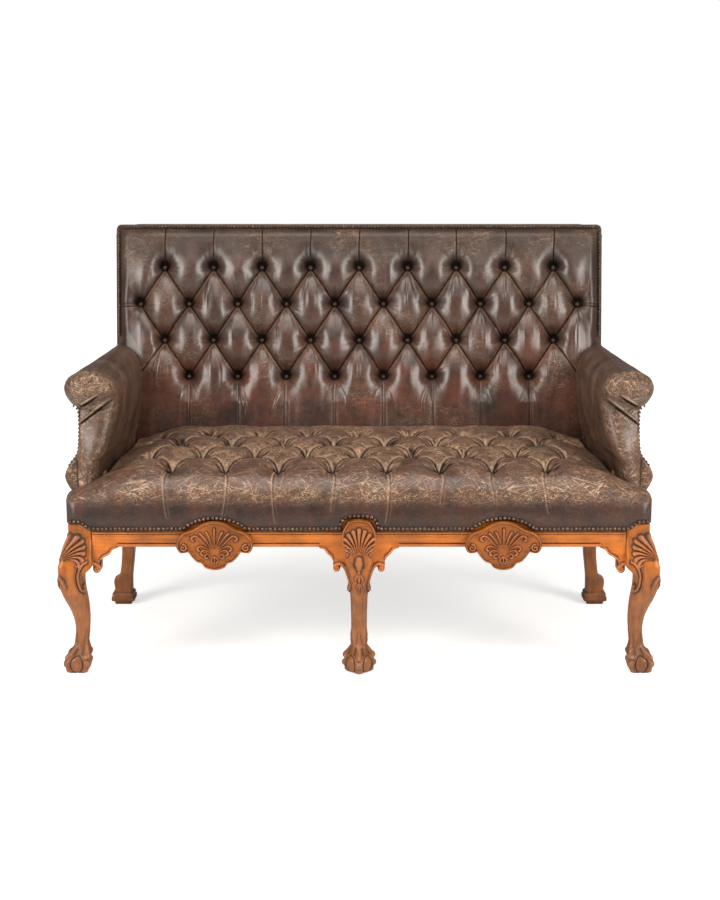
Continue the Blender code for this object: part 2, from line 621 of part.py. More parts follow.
def build_back_frame(rake, rear_legs):
    """Top rail, lower rail and muntin between the raked stiles, all placed in the plane of the back."""
    half = REAR_WIDTH / 2 - STILE_WIDTH - CLEARANCE
    front, rear = 0.0, BACK_RAIL_THICKNESS
    middle = (front + rear) / 2
    lower_top = BACK_LOWER_RAIL_RISE + BACK_RAIL_HEIGHT
    upper = BACK_LENGTH - BACK_RAIL_HEIGHT
    size = (2 * TENON_LENGTH, TENON_THICKNESS, BACK_RAIL_HEIGHT / 2)
    rails = []
    for name, bottom in (("back_top_rail", upper), ("back_lower_rail", BACK_LOWER_RAIL_RISE)):
        top = bottom + BACK_RAIL_HEIGHT
        rail = box_piece(name, (-half, front, bottom), (half, rear, top), "frame_beech", rake)
        for leg, sign in zip(rear_legs, (-1, 1)):
            centre = (sign * half, middle, (bottom + top) / 2)
            union_tenons(rail, [(centre, size)], parent=rake)
            cut_mortise(leg, centre, size, parent=rake)
        rails.append(rail)
    low = (-MUNTIN_WIDTH / 2, front, lower_top + CLEARANCE)
    high = (MUNTIN_WIDTH / 2, rear, upper - CLEARANCE)
    muntin = box_piece("back_muntin", low, high, "frame_beech", rake)
    size = (MUNTIN_WIDTH * 0.6, TENON_THICKNESS, 2 * TENON_LENGTH)
    for rail, z in zip(rails, (high[2], low[2])):
        union_tenons(muntin, [((0, middle, z), size)], parent=rake)
        cut_mortise(rail, (0, middle, z), size, parent=rake)


def web(name, strips, parent=None):
    """Webbing as one interlaced sheet: crossing strips joined where they pass each other."""
    first = box_piece(name, *strips[0], "jute_web", parent)
    for low, high in strips[1:]:
        boolean(first, make_cutter(box_piece(f"strip of {name}", low, high, "jute_web", parent)), "UNION")


def build_linings(rake):
    """Webbing, hessian and dust cover: thin sheets stretched over the frames."""
    gap, thick, half_web = CLEARANCE, SHEET_THICKNESS, WEB_WIDTH / 2
    top = BACK_LENGTH - WEB_LAP
    low = BACK_LOWER_RAIL_RISE + WEB_LAP
    weave = thick / 3
    reach = spring_columns()[-1] + WEB_WIDTH
    third = (top - low) / 3
    strips = []
    for z in (low + third, top - third):
        strips.append(((-reach, -gap - thick, z - half_web), (reach, -gap, z + half_web)))
    for x in spring_columns():
        front = -gap - thick - weave
        strips.append(((x - half_web, front, low), (x + half_web, front + thick, top)))
    web("back_webbing", strips, rake)
    half = REAR_WIDTH / 2 - STILE_WIDTH - 0.004
    front = -BACK_DECK + gap
    corner = (-half, front, BACK_LOWER_RAIL_RISE)
    box_piece("back_hessian", corner, (half, front + thick, top), "hessian", rake)

    base = RAIL_BOTTOM - gap - thick
    strips = []
    for y in spring_rows():
        reach = side_x(y + WEB_WIDTH) - RAIL_THICKNESS + WEB_LAP / 3
        strips.append(((-reach, y - half_web, base), (reach, y + half_web, base + thick)))
    for x in spring_columns():
        strips.append(((x - half_web, WEB_FRONT_Y, base - weave),
                       (x + half_web, REAR_RAIL_FACE_Y + WEB_LAP, base + thick - weave)))
    web("seat_webbing", strips)
    low = base - weave - gap - thick
    box_piece("dust_cover", (-half, POST_BACK_Y + 0.006, low),
              (half, REAR_RAIL_FACE_Y + WEB_LAP, low + thick), "dust_cloth")
    half = REAR_WIDTH / 2 - ARM_INNER_REAR - 0.004
    low = RAIL_TOP + gap
    box_piece("seat_hessian", (-half, RAIL_FACE_Y + REBATE + 0.004, low),
              (half, REAR_RAIL_FACE_Y + WEB_LAP, low + thick), "hessian")


def spring_columns():
    step = 2 * (REAR_WIDTH / 2 - STILE_WIDTH) / SPRING_COLUMNS
    return [(i - (SPRING_COLUMNS - 1) / 2) * step for i in range(SPRING_COLUMNS)]


def spring_rows():
    low, high = POST_BACK_Y, REAR_RAIL_FACE_Y
    return [low + (high - low) * (i + 0.5) / SPRING_ROWS for i in range(SPRING_ROWS)]


def build_springs():
    """Waisted coil springs standing on the webbing; each is a bent wire with closed ends."""
    low = RAIL_BOTTOM + CLEARANCE + SPRING_WIRE
    high = RAIL_TOP - CLEARANCE - SPRING_WIRE
    steps = int(SPRING_TURNS * SPRING_STEPS)
    places = [(x, y) for y in spring_rows() for x in spring_columns()]
    for number, (x, y) in enumerate(places, 1):
        curve = bpy.data.curves.new(f"seat_spring_{number}", "CURVE")
        curve.dimensions = "3D"
        curve.bevel_depth = SPRING_WIRE
        curve.bevel_resolution = 0
        curve.use_fill_caps = True
        spline = curve.splines.new("POLY")
        spline.points.add(steps)
        for i, point in enumerate(spline.points):
            share = i / steps
            angle = math.tau * SPRING_TURNS * share
            radius = SPRING_RADIUS * (SPRING_WAIST + (1 - SPRING_WAIST) * (2 * share - 1) ** 2)
            point.co = (radius * math.cos(angle), radius * math.sin(angle), (high - low) * share, 1)
        curve.materials.append(finish_material("spring_steel"))
        spring = bpy.data.objects.new(f"seat_spring_{number}", curve)
        PARTS.objects.link(spring)
        spring.location = (x, y, low)


# Tufted pads

def tuft(a, b, counts):
    """Height of the tufting, 0 at a button and 1 on a puff, at button pitches across and rows down."""
    last = len(counts) - 1
    row = min(last, max(0.0, b))
    shift = 0.0 if counts[0] % 2 else 0.5
    shares = [(a + shift + lean * row / 2) % 1.0 for lean in (1, -1)]
    across = [math.sqrt(max(0.0, 4 * f * (1 - f))) for f in shares]
    pillow = across[0] * across[1]
    lifted = 1 - (1 - across[0]) * (1 - across[1])
    height = (1 - LINE_LIFT) * pillow + LINE_LIFT * lifted
    edge = between([(i, (count - 1) / 2) for i, count in enumerate(counts)], row)
    fade = max(0.25, 1 - 0.5 * abs(b - row)) * max(0.0, 1 - max(0.0, abs(a) - edge) / 0.6)
    return 1 - (1 - height) * fade


def pad_columns(limit):
    """Columns across a pad: a quarter pitch apart inside, then spread out to the pad's edge."""
    inner = 4 * BUTTON_PITCH
    spread = limit - inner
    right = [inner + spread * share for share in (0.30, 0.62, 1 - PAD_MARGIN / spread, 1.0)]
    middle = [i * BUTTON_PITCH / 4 for i in range(-16, 17)]
    return [-x for x in reversed(right)] + middle + right


def pad_mesh(rows, place, base):
    """A closed pad: a grid bent to shape, split along its pleats, with a skirt down to a flat underside."""
    columns = len(pad_columns(1.0))
    bm = bmesh.new()
    bmesh.ops.create_grid(bm, x_segments=columns - 1, y_segments=len(rows) - 1, size=0.5)
    spots = {}
    for vert in bm.verts:
        column = round((vert.co.x + 0.5) * (columns - 1))
        spots[vert] = (column, round((0.5 - vert.co.y) * (len(rows) - 1)))
    for face in list(bm.faces):
        order = sorted(face.verts, key=lambda vert: spots[vert])
        falling = (spots[order[0]][0] + rows[spots[order[0]][1]][1]) % 2 == 0
        pair = (order[0], order[3]) if falling else (order[1], order[2])
        bmesh.utils.face_split(face, *pair)
    for vert, (column, row) in spots.items():
        vert.co = place(column, rows[row])
    rim = [edge for edge in bm.edges if edge.is_boundary]
    made = bmesh.ops.extrude_edge_only(bm, edges=rim)["geom"]
    for vert in [item for item in made if isinstance(item, bmesh.types.BMVert)]:
        vert.co = base(vert.co)
    bmesh.ops.holes_fill(bm, edges=[edge for edge in bm.edges if edge.is_boundary])
    bmesh.ops.triangulate(bm, faces=[face for face in bm.faces if len(face.verts) > 4])
    return bm


def arm_top_s():
    """Where the top of the arms meets the back, up the slope of the back."""
    return (ARM_HEIGHT + 0.026) / math.cos(BACK_RAKE)


def back_thickness(x, b):
    """Thickness of the back pad over the frame: flat at the border, tufted inside it."""
    from_side = REAR_WIDTH / 2 - abs(x)
    from_top = BACK_FIRST_ROW + b * BACK_ROW_PITCH
    crown = smooth((min(from_side, from_top) - PAD_MARGIN) / 0.09)
    full = BACK_PAD_BUTTON_DEPTH + BACK_PAD_PUFF * tuft(x / BUTTON_PITCH, b, BACK_ROW_COUNTS)
    full += BACK_PAD_LUMBAR * smooth(b / len(BACK_ROW_COUNTS))
    return BACK_PAD_EDGE + (full - BACK_PAD_EDGE) * crown


def build_back_pad(rake):
    top = -BACK_FIRST_ROW / BACK_ROW_PITCH
    bottom = (BACK_ROW_S[0] - BACK_PAD_START) / BACK_ROW_PITCH
    places = [top, top + PAD_MARGIN / BACK_ROW_PITCH, -0.75, -0.4]
    places += [half_row / 2 for half_row in range(10)] + [bottom]
    rows = [(b, int(math.floor(2 * b + 0.01))) for b in places]
    columns = pad_columns(REAR_WIDTH / 2)

    def place(column, row):
        x = columns[column]
        up = BACK_ROW_S[0] - row[0] * BACK_ROW_PITCH
        return Vector((x, -BACK_DECK - back_thickness(x, row[0]), up))

    bm = pad_mesh(rows, place, lambda co: Vector((co.x, -BACK_DECK, co.z)))
    pad = add_mesh("back_pad", bm, "leather", rake, smooth_angle=60)
    for _, sign in SIDES:
        bm = bmesh.new()
        rings = [arm_section(0.75, ARM_FRONT_Y + ARM_FRONT_SLAB + 0.26, False, ARM_FIT)]
        rings.append(arm_section(1.0, 0, True, ARM_FIT))
        rings.append(arm_section(1.0, STILE_FACE_Y + STILE_DEPTH * 4, False, ARM_FIT))
        loft(bm, [[(sign * x, y, z) for x, y, z in points] for points in rings])
        boolean(pad, make_cutter(add_mesh("room for an arm", bm, "leather")))


def seat_limit(y):
    """Half width of the seat pad: full in front of the arms, and between them behind."""
    front = FRONT_WIDTH / 2 - 0.002
    arm = between([(ARM_FRONT_Y, ARM_INNER_FRONT), (STILE_FACE_Y, ARM_INNER_REAR)], y)
    return front if y < ARM_FRONT_Y - 0.010 else side_x(y) - arm - 0.003


def seat_height(x, b):
    """Height of the seat pad's top at a row: it climbs from the front edge and sinks at the sides."""
    last = len(SEAT_ROW_COUNTS) - 1
    share = b / last
    rise = SEAT_BUTTON_REAR - SEAT_BUTTON_FRONT
    if share < 0:
        button = SEAT_BUTTON_FRONT + rise * share * 2.5
    else:
        button = SEAT_BUTTON_FRONT + rise * (1 - (1 - min(1.0, share)) ** 2)
    y = RAIL_FACE_Y + SEAT_FIRST_ROW + b * SEAT_ROW_PITCH
    side = 0.014 * (1 - smooth((seat_limit(y) - abs(x)) / 0.08))
    return RAIL_TOP + button + SEAT_PUFF * tuft(x / BUTTON_PITCH, b, SEAT_ROW_COUNTS) - side


def build_seat_pad():
    first = RAIL_FACE_Y + SEAT_FIRST_ROW
    arm = (ARM_FRONT_Y - first) / SEAT_ROW_PITCH
    rear = (SEAT_REAR_Y - first) / SEAT_ROW_PITCH
    places = [-0.65, -0.4, arm - 0.12, arm - 0.03, 0.25, 0.5, 1, 1.5, 2, 2.5, 3, 3.4, rear]
    edge_z = RAIL_TOP + SEAT_EDGE_HEIGHT
    bulges = ((1.0, DECK_Z + 0.004), (0.8, DECK_Z + 0.018), (-0.2, edge_z - 0.008), (-2.0, edge_z + 0.006))
    front = [(RAIL_FACE_Y - SEAT_FRONT_BULGE * bulge, z) for bulge, z in bulges]
    rows = [(spot, i) for i, spot in enumerate(front)]
    rows += [(b, int(math.floor(2 * b + 0.01))) for b in places]

    def place(column, row):
        if isinstance(row[0], tuple):
            y, z = row[0]
            x = pad_columns(seat_limit(y))[column]
            return Vector((x, y, z))
        y = first + row[0] * SEAT_ROW_PITCH
        x = pad_columns(seat_limit(y))[column]
        return Vector((x, y, seat_height(x, row[0])))

    bm = pad_mesh(rows, place, lambda co: Vector((co.x, co.y, DECK_Z)))
    pad = add_mesh("seat_pad", bm, "leather", smooth_angle=60)
    post_inner = FRONT_WIDTH / 2 - POST_SIZE - CLEARANCE
    inner_y = RAIL_FACE_Y + REBATE - CLEARANCE
    post_step = RAIL_TOP - POST_LEATHER_HEIGHT + 2 * CLEARANCE
    for half, bottom in ((post_inner, SHOW_WOOD_TOP), (FRONT_WIDTH / 2 - 0.003, post_step)):
        low = (-half, RAIL_FACE_Y + 0.0008, bottom + CLEARANCE)
        skirt = make_cutter(box_piece("front skirt", low, (half, inner_y, DECK_Z + 0.012), "leather"))
        boolean(pad, skirt, "UNION")


# Arms

# Section of an arm, out from the side of the frame and up from the rail, at its front and at its back
ARM_FRONT_SECTION = (
    (0.005, 0.000), (0.026, 0.028), (0.034, 0.056), (0.020, 0.086), (-0.001, 0.117), (-0.009, 0.174),
    (-0.008, 0.221), (0.006, 0.236), (0.019, 0.257), (0.021, 0.279), (0.009, 0.301), (-0.016, 0.313),
    (-0.046, 0.313), (-0.073, 0.297), (-0.089, 0.271), (-0.093, 0.244), (-0.085, 0.189), (-0.079, 0.149),
    (-0.063, 0.109), (-0.048, 0.080), (-0.043, 0.000))
ARM_REAR_SECTION = (
    (0.002, 0.000), (0.010, 0.028), (0.010, 0.056), (0.005, 0.086), (0.000, 0.117), (-0.002, 0.174),
    (-0.002, 0.221), (-0.001, 0.244), (0.000, 0.269), (0.000, 0.289), (0.000, 0.311), (-0.004, 0.324),
    (-0.015, 0.327), (-0.036, 0.317), (-0.053, 0.294), (-0.062, 0.263), (-0.067, 0.199), (-0.066, 0.149),
    (-0.062, 0.109), (-0.058, 0.080), (-0.055, 0.000))
ARM_OUTSIDE = 7                # points of the section that belong to the outside of the arm


def arm_section(share, y, rear, grow=0.0):
    """The arm's section part way from front to back; the last one follows the rake of the back."""
    lift = ARM_HEIGHT / ARM_FRONT_SECTION[11][1]
    points = []
    for i, ((x0, z0), (x1, z1)) in enumerate(zip(ARM_FRONT_SECTION, ARM_REAR_SECTION)):
        z = RAIL_TOP + CLEARANCE + (z0 + (z1 - z0) * share) * lift
        depth = stile_face_y(z) - BACK_DECK - CLEARANCE if rear else y
        x = side_x(depth) + x0 + (x1 - x0) * share
        outside = i < ARM_OUTSIDE + 4
        top = ARM_OUTSIDE + 2 < i < ARM_OUTSIDE + 8
        points.append((x + (4 * grow if outside else -grow), depth, z + (grow if top else 0)))
    return points


def build_arm(side, sign):
    """Padded arm over its own small frame, with leather stretched over the outside."""
    slab_y = ARM_FRONT_Y + ARM_FRONT_SLAB
    stations = [(0.0, ARM_FRONT_Y + 0.012), (0.12, slab_y), (0.4, slab_y + 0.12),
                (0.75, slab_y + 0.26), (1.0, 0.0)]
    rings = [arm_section(share, y, share == 1.0) for share, y in stations]
    middle = Vector((-0.035 + side_x(ARM_FRONT_Y), 0, RAIL_TOP + ARM_HEIGHT * 0.55))
    nose = []
    for x, _, z in rings[0]:
        height = max(z, RAIL_TOP + CLEARANCE) if z < 0.42 else middle.z + (z - middle.z) * 0.96
        nose.append((middle.x + (x - middle.x) * 0.9, ARM_FRONT_Y, height))
    rings.insert(0, nose)
    bm = bmesh.new()
    loft(bm, [[(sign * x, y, z) for x, y, z in points] for points in rings])
    pad = add_mesh(f"arm_pad_{side}", bm, "leather", smooth_angle=45)

    top = RAIL_TOP + ARM_FRAME_HEIGHT
    far = STILE_BACK_Y + 0.10

    def bar(name, outer, inner, low, high, start, end, finish):
        rings = []
        for y in (start, end):
            corners = [(outer, low), (outer, high), (inner, high), (inner, low)]
            points = []
            for x, z in corners:
                depth = stile_face_y(z) - CLEARANCE if y is None else y
                points.append((sign * (side_x(depth) + x), depth, z))
            rings.append(points)
        bm = bmesh.new()
        loft(bm, rings)
        return add_mesh(f"{name}_{side}", bm, finish)

    pocket = bar("arm pocket", 0.06, -ARM_FRAME_DEPTH, RAIL_TOP - 0.02, top, slab_y, far, "leather")
    boolean(pad, make_cutter(pocket))
    inner = -ARM_FRAME_DEPTH + CLEARANCE
    outer = inner + ARM_POST_THICKNESS
    post_back = slab_y + CLEARANCE + ARM_POST_DEPTH
    top -= CLEARANCE
    bar("arm_post", outer, inner, RAIL_TOP + CLEARANCE, top, slab_y + CLEARANCE, post_back, "frame_beech")
    start = post_back + CLEARANCE
    bar("arm_top_rail", outer, inner, top - ARM_RAIL_HEIGHT, top, start, None, "frame_beech")
    low = RAIL_TOP + ARM_RAIL_HEIGHT
    bar("arm_lower_rail", outer, inner, low, low + ARM_RAIL_HEIGHT, start, None, "frame_beech")

    bm = bmesh.new()
    strips = []
    floor = RAIL_TOP + 2 * CLEARANCE
    for share, y in [(0.12, slab_y + 4 * CLEARANCE), *stations[2:]]:
        points = arm_section(share, y, share == 1.0)[:ARM_OUTSIDE]
        places = [(sign * (x - CLEARANCE), y, floor + (z - floor) * 0.985) for x, y, z in points]
        strips.append([bm.verts.new(place) for place in places])
    for near, next_strip in zip(strips, strips[1:]):
        for i in range(ARM_OUTSIDE - 1):
            bm.faces.new((near[i], near[i + 1], next_strip[i + 1], next_strip[i]))
    panel = add_mesh(f"outside_arm_{side}", bm, "leather", smooth_angle=45)
    solid = panel.modifiers.new("leather thickness", "SOLIDIFY")
    solid.thickness = LEATHER_THICKNESS
    solid.offset = -1.0
    solid.use_even_offset = True


# Back leather and border

def build_back_leather(rake):
    """Leather over the outside of the back and its edges, and the gimp round the tufted side."""
    half = REAR_WIDTH / 2
    rear = STILE_DEPTH * math.cos(BACK_RAKE) + CLEARANCE
    skin = LEATHER_THICKNESS
    cover = box_piece("outside_back", (-half - skin, -BACK_DECK + CLEARANCE, 0.02),
                      (half + skin, rear + skin, BACK_LENGTH + skin), "leather", rake)
    hollow = box_piece("inside of the back", (-half - CLEARANCE, -0.1, -0.1),
                       (half + CLEARANCE, rear, BACK_LENGTH + CLEARANCE), "leather", rake)
    boolean(cover, make_cutter(hollow))
    low = arm_top_s() + 0.004
    inner = half - GIMP_WIDTH
    top = BACK_LENGTH
    outline = [(-half, low), (-half, top), (half, top), (half, low),
               (inner, low), (inner, top - GIMP_WIDTH), (-inner, top - GIMP_WIDTH), (-inner, low)]
    depth = BACK_DECK + BACK_PAD_EDGE + CLEARANCE + GIMP_THICKNESS / 2
    flat_piece("back_gimp", outline, GIMP_THICKNESS, "gimp_leather", (0, -depth, 0),
               (math.pi / 2, 0, 0), parent=rake)


def build():
    front_rail = build_seat_frame()
    build_corner_blocks()
    for side, sign in SIDES:
        build_corner_leg(side, sign)
    build_centre_leg(front_rail)
    rear_legs = [build_rear_leg(side, sign) for side, sign in SIDES]
    build_brackets()
    build_shell_panels()
    rake = bpy.data.objects.new("rake of the back", None)
    CUTTERS.objects.link(rake)
    rake.location = (0, STILE_FACE_Y, RAIL_TOP)
    rake.rotation_euler = (-BACK_RAKE, 0, 0)
    build_back_frame(rake, rear_legs)
    build_linings(rake)
    build_springs()
    build_seat_pad()
    build_back_pad(rake)
    for side, sign in SIDES:
        build_arm(side, sign)
    build_back_leather(rake)


clear_scene()
PARTS = new_collection("tufted settee")
CUTTERS = new_collection("cutters", hidden=True)
build()
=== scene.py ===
"""Dresses the solids of a tufted leather settee on carved legs: leather, show wood, nails and studio."""

import math

import bpy
import numpy as np
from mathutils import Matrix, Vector


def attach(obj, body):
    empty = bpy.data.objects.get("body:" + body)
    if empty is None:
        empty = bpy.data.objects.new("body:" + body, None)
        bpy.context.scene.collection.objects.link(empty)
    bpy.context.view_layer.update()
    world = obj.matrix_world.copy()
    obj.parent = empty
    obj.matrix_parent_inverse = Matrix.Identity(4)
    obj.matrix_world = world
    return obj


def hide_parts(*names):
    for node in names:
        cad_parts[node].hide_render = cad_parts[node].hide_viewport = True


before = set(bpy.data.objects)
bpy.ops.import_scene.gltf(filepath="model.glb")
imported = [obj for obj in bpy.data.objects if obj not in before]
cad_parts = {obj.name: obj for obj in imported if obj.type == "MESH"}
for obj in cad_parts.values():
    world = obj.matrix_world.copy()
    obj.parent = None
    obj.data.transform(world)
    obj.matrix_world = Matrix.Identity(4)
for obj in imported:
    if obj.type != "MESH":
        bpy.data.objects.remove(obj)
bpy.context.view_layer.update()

bl_info = {
    "name": "Tufted leather settee",
    "version": (1, 0, 0),
    "blender": (4, 5, 0),
    "location": "3D View > Sidebar > Settee",
    "description": "Models the upholstery, carving and nails of a settee over its solids",
    "category": "Object",
}

SIDES = (("left", -1), ("right", 1))


def linear(code):
    """Linear colour of an sRGB hex value."""
    parts = [int(code[i:i + 2], 16) / 255 for i in (1, 3, 5)]
    return tuple(c / 12.92 if c <= 0.04045 else ((c + 0.055) / 1.055) ** 2.4 for c in parts)


# Sizes and colours that a user may change

def length(name, text, value):
    return bpy.props.FloatProperty(name=name, description=text, default=value, unit="LENGTH", precision=4)


def colour(name, text, code):
    return bpy.props.FloatVectorProperty(name=name, description=text, default=linear(code), subtype="COLOR",
                                         size=3, min=0.0, max=1.0)


class SetteeSizes(bpy.types.PropertyGroup):
    """Sizes of the upholstery and the trim."""

    button_pitch: length("Button pitch", "Buttons across, middle to middle", 0.13052)
    back_puff: length("Back puff", "Rise of the back's leather above its buttons", 0.040)
    seat_puff: length("Seat puff", "Rise of the seat's leather above its buttons", 0.031)
    button_size: length("Button", "Diameter of a covered button", 0.0128)
    nail_size: length("Nail head", "Diameter of the nail heads on the rails and arms", 0.0098)
    nail_pitch: length("Nail pitch", "Nail heads along the rail, middle to middle", 0.0103)
    border_nail_size: length("Border nail", "Diameter of the nail heads in the back's border", 0.0066)
    border_nail_pitch: length("Border nail pitch", "Nail heads in the border, middle to middle", 0.0084)
    pucker: length("Pucker", "Height of the fine folds that gather at a button", 0.0016)
    talon: bpy.props.FloatProperty(name="Talon", description="How far the talons stand out of the ball",
                                   default=1.0, min=0.0, max=1.5)


class SetteeColours(bpy.types.PropertyGroup):
    """Colours of the leather, the wood and the studio."""

    leather: colour("Leather", "Dyed face of the hide", "#3C2A23")
    leather_red: colour("Leather, warm", "Redder dye where the hide is little worn", "#4E2718")
    # the dark leather also paints the shade in the folds and in the pockets round the buttons
    leather_dark: colour("Leather, dark", "Dye and dirt gathered in the folds", "#150C09")
    leather_worn: colour("Leather, worn", "Tan hide where the dye has rubbed off", "#AE9076")
    wood: colour("Walnut", "Polished face of the rails", "#B8651B")
    # the dark walnut also paints the shade in the grooves and round the carving
    wood_dark: colour("Walnut, dark", "Grain and old wax in the carving", "#4A2815")
    leg: colour("Walnut, legs", "Drier polish of the legs", "#8C562F")
    nail: colour("Nail", "Antique bronze of the nail heads", "#6A5648")
    floor: colour("Floor", "Pale studio floor", "#F4F3F1")


def sizes():
    return bpy.context.scene.settee_sizes


def colours():
    return bpy.context.scene.settee_colours


# The settee's own frame, in metres: it faces -Y and stands on Z = 0

RAIL_FACE_Y = -0.327
STILE_FACE_Y = 0.2147
RAIL_BOTTOM = 0.316
RAIL_TOP = 0.411
SHOW_WOOD_TOP = 0.356
FRONT_HALF = 0.700
REAR_HALF = 0.650
BACK_HALF = 0.654
BACK_RAKE = math.radians(9.0)
BACK_OUT = np.array([0, -math.cos(BACK_RAKE), math.sin(BACK_RAKE)])
BACK_LENGTH = (1.048 - RAIL_TOP) / math.cos(BACK_RAKE)
BACK_DECK = 0.0045
BORDER_OUT = BACK_DECK + 0.012
BORDER_WIDTH = 0.012
GIMP_WIDTH = 0.0125
BACK_FIRST_ROW = 0.118
BACK_ROW_PITCH = (BACK_LENGTH - BACK_FIRST_ROW - 0.050) / 4.89
BACK_COUNTS = (9, 10, 9, 8)
SEAT_FIRST_Y = -0.232
SEAT_ROW_PITCH = 0.100
SEAT_COUNTS = (8, 9, 8, 9)
SEAT_REAR_Y = 0.148
ARM_FRONT_Y = -0.227
SIDE_SLOPE = (FRONT_HALF - REAR_HALF) / (STILE_FACE_Y - RAIL_FACE_Y)
POST_X = 0.671
POST_Y = -0.298
SHELL_X = 0.3465


def side_x(y):
    """Half width of the seat frame at a depth: it narrows towards the back."""
    return FRONT_HALF - (y - RAIL_FACE_Y) * SIDE_SLOPE


def back_point(x, up, out):
    """A place in the plane of the raked back: across, up its slope and out of its face."""
    rake = BACK_RAKE
    y = STILE_FACE_Y + up * math.sin(rake) - out * math.cos(rake)
    z = RAIL_TOP + up * math.cos(rake) + out * math.sin(rake)
    return np.stack(np.broadcast_arrays(x, y, z), axis=-1)


def clipped(x, up):
    """Places in the plane of the back, with its two top corners cut off by a few millimetres."""
    over = np.maximum(0, np.abs(x) - BACK_HALF + up - BACK_LENGTH + 0.011)
    return x - np.sign(x) * over / 2, up - over / 2


def unit(value):
    """A value held between 0 and 1."""
    return np.clip(value, 0, 1)


def ease(t):
    """From 0 to 1, level at both ends."""
    t = unit(t)
    return t * t * (3 - 2 * t)


def spline(points, count, closed=False):
    """Points spaced evenly along a smooth curve through the given ones."""
    p = np.asarray(points, float)
    if closed:
        chain = np.vstack([p[-1:], p, p[:2]])
    else:
        chain = np.vstack([2 * p[:1] - p[1:2], p, 2 * p[-1:] - p[-2:-1]])
    t = np.linspace(0, 1, 20, endpoint=False)[:, None]
    runs = []
    for a, b, c, d in zip(chain, chain[1:], chain[2:], chain[3:]):
        runs.append(0.5 * (2 * b + (c - a) * t + (2 * a - 5 * b + 4 * c - d) * t ** 2
                           + (3 * b - a - 3 * c + d) * t ** 3))
    fine = np.vstack(runs + [chain[-2:-1]])
    steps = np.linalg.norm(np.diff(fine, axis=0), axis=1)
    along = np.concatenate([[0], np.cumsum(steps)])
    at = np.linspace(0, along[-1], count, endpoint=not closed)
    return np.column_stack([np.interp(at, along, column) for column in fine.T])


def table(stations, at):
    """Columns of a table of stations, read smoothly at places along its first column."""
    p = np.asarray(stations, float)
    slope = np.gradient(p, p[:, 0], axis=0)
    i = np.clip(np.searchsorted(p[:, 0], at, side="right") - 1, 0, len(p) - 2)
    span = (p[i + 1, 0] - p[i, 0])[:, None]
    t = unit((at - p[i, 0]) / span[:, 0])[:, None]
    low, high = p[i], p[i + 1]
    rise = (high - low) / span
    steep = np.where(rise == 0, 1, rise)
    a, b = (np.where(slope[k] * rise > 0, np.clip(slope[k] / steep, 0, 3) * rise, 0) for k in (i, i + 1))
    h = (2 * t ** 3 - 3 * t ** 2 + 1) * low + (3 * t ** 2 - 2 * t ** 3) * high
    return h + (t ** 3 - 2 * t ** 2 + t) * span * a + (t ** 3 - t ** 2) * span * b


def relief(u, v, strokes):
    """Height of carved ridges over a flat face.

    A stroke is a row of (across, up, half width) points and a rise.
    """
    height = np.zeros_like(u)
    for points, rise in strokes:
        p = np.asarray(points, float)
        for (u0, v0, r0), (u1, v1, r1) in zip(p, p[1:]):
            most = max(r0, r1)
            near = ((u > min(u0, u1) - most) & (u < max(u0, u1) + most)
                    & (v > min(v0, v1) - most) & (v < max(v0, v1) + most))
            if not near.any():
                continue
            du, dv = u1 - u0, v1 - v0
            size = du * du + dv * dv or 1e-12
            t = unit(((u[near] - u0) * du + (v[near] - v0) * dv) / size)
            away = np.hypot(u[near] - u0 - t * du, v[near] - v0 - t * dv)
            width = r0 + (r1 - r0) * t
            inside = np.sqrt(unit(1 - (away / width) ** 2))
            height[near] = np.maximum(height[near], rise * inside * np.minimum(1, width / most))
    return height


def broadened(strokes, share):
    """The same strokes with wider ridges."""
    return [([(u, v, r * share) for u, v, r in line], rise) for line, rise in strokes]


def both_hands(strokes):
    """Strokes and their mirror images."""
    return [([(hand * u, v, r) for u, v, r in line], rise) for line, rise in strokes for hand in (-1, 1)]


def spiral(u, v, turns, radius, width, hand):
    """A volute as a stroke: it winds in from the top of its rim, and its bead grows thinner."""
    points = []
    steps = 26
    for i in range(steps):
        share = i / (steps - 1)
        angle = math.pi / 2 + hand * math.tau * turns * share
        reach = radius * (1 - 0.86 * share)
        points.append((u + reach * math.cos(angle), v + reach * math.sin(angle), width * (1 - 0.35 * share)))
    return points


# Meshes and pieces

# points closer than this are merged, in soft and in carved pieces
SOFT_MERGE = 0.00002
FINE_MERGE = 0.000005


def sheet_faces(rows, columns, wrap=False):
    """Quads of a grid of points, row by row; a wrapped grid closes on itself across."""
    index = np.arange(rows * columns).reshape(rows, columns)
    if wrap:
        index = np.column_stack([index, index[:, :1]])
    return np.stack([index[:-1, :-1], index[:-1, 1:], index[1:, 1:], index[1:, :-1]], -1).reshape(-1, 4)


def tube_faces(rows, around):
    """Quads round a stack of rings, and one face over each end."""
    last = (rows - 1) * around
    return [*sheet_faces(rows, around, wrap=True).tolist(), list(range(around))[::-1], list(range(last, last + around))]


def grid_rim(rows, columns):
    """Points round the edge of a grid, in order."""
    index = np.arange(rows * columns).reshape(rows, columns)
    return np.concatenate([index[0, :], index[1:, -1], index[-1, -2::-1], index[-2:0:-1, 0]])


def deselect():
    if bpy.context.object and bpy.context.object.mode != "OBJECT":
        bpy.ops.object.mode_set(mode="OBJECT")
    bpy.ops.object.select_all(action="DESELECT")


def activate(obj):
    deselect()
    obj.select_set(True)
    bpy.context.view_layer.objects.active = obj
    return obj


def new_primitive(name):
    obj = bpy.context.object
    obj.name = name
    obj.data.name = name
    return obj


def edit_all(obj, *steps):
    """Runs mesh operators on the whole of an object. A step is an operator and its settings."""
    activate(obj)
    bpy.ops.object.mode_set(mode="EDIT")
    bpy.ops.mesh.select_all(action="SELECT")
    for operator, settings in steps:
        operator(**settings)
    bpy.ops.object.mode_set(mode="OBJECT")
    return obj


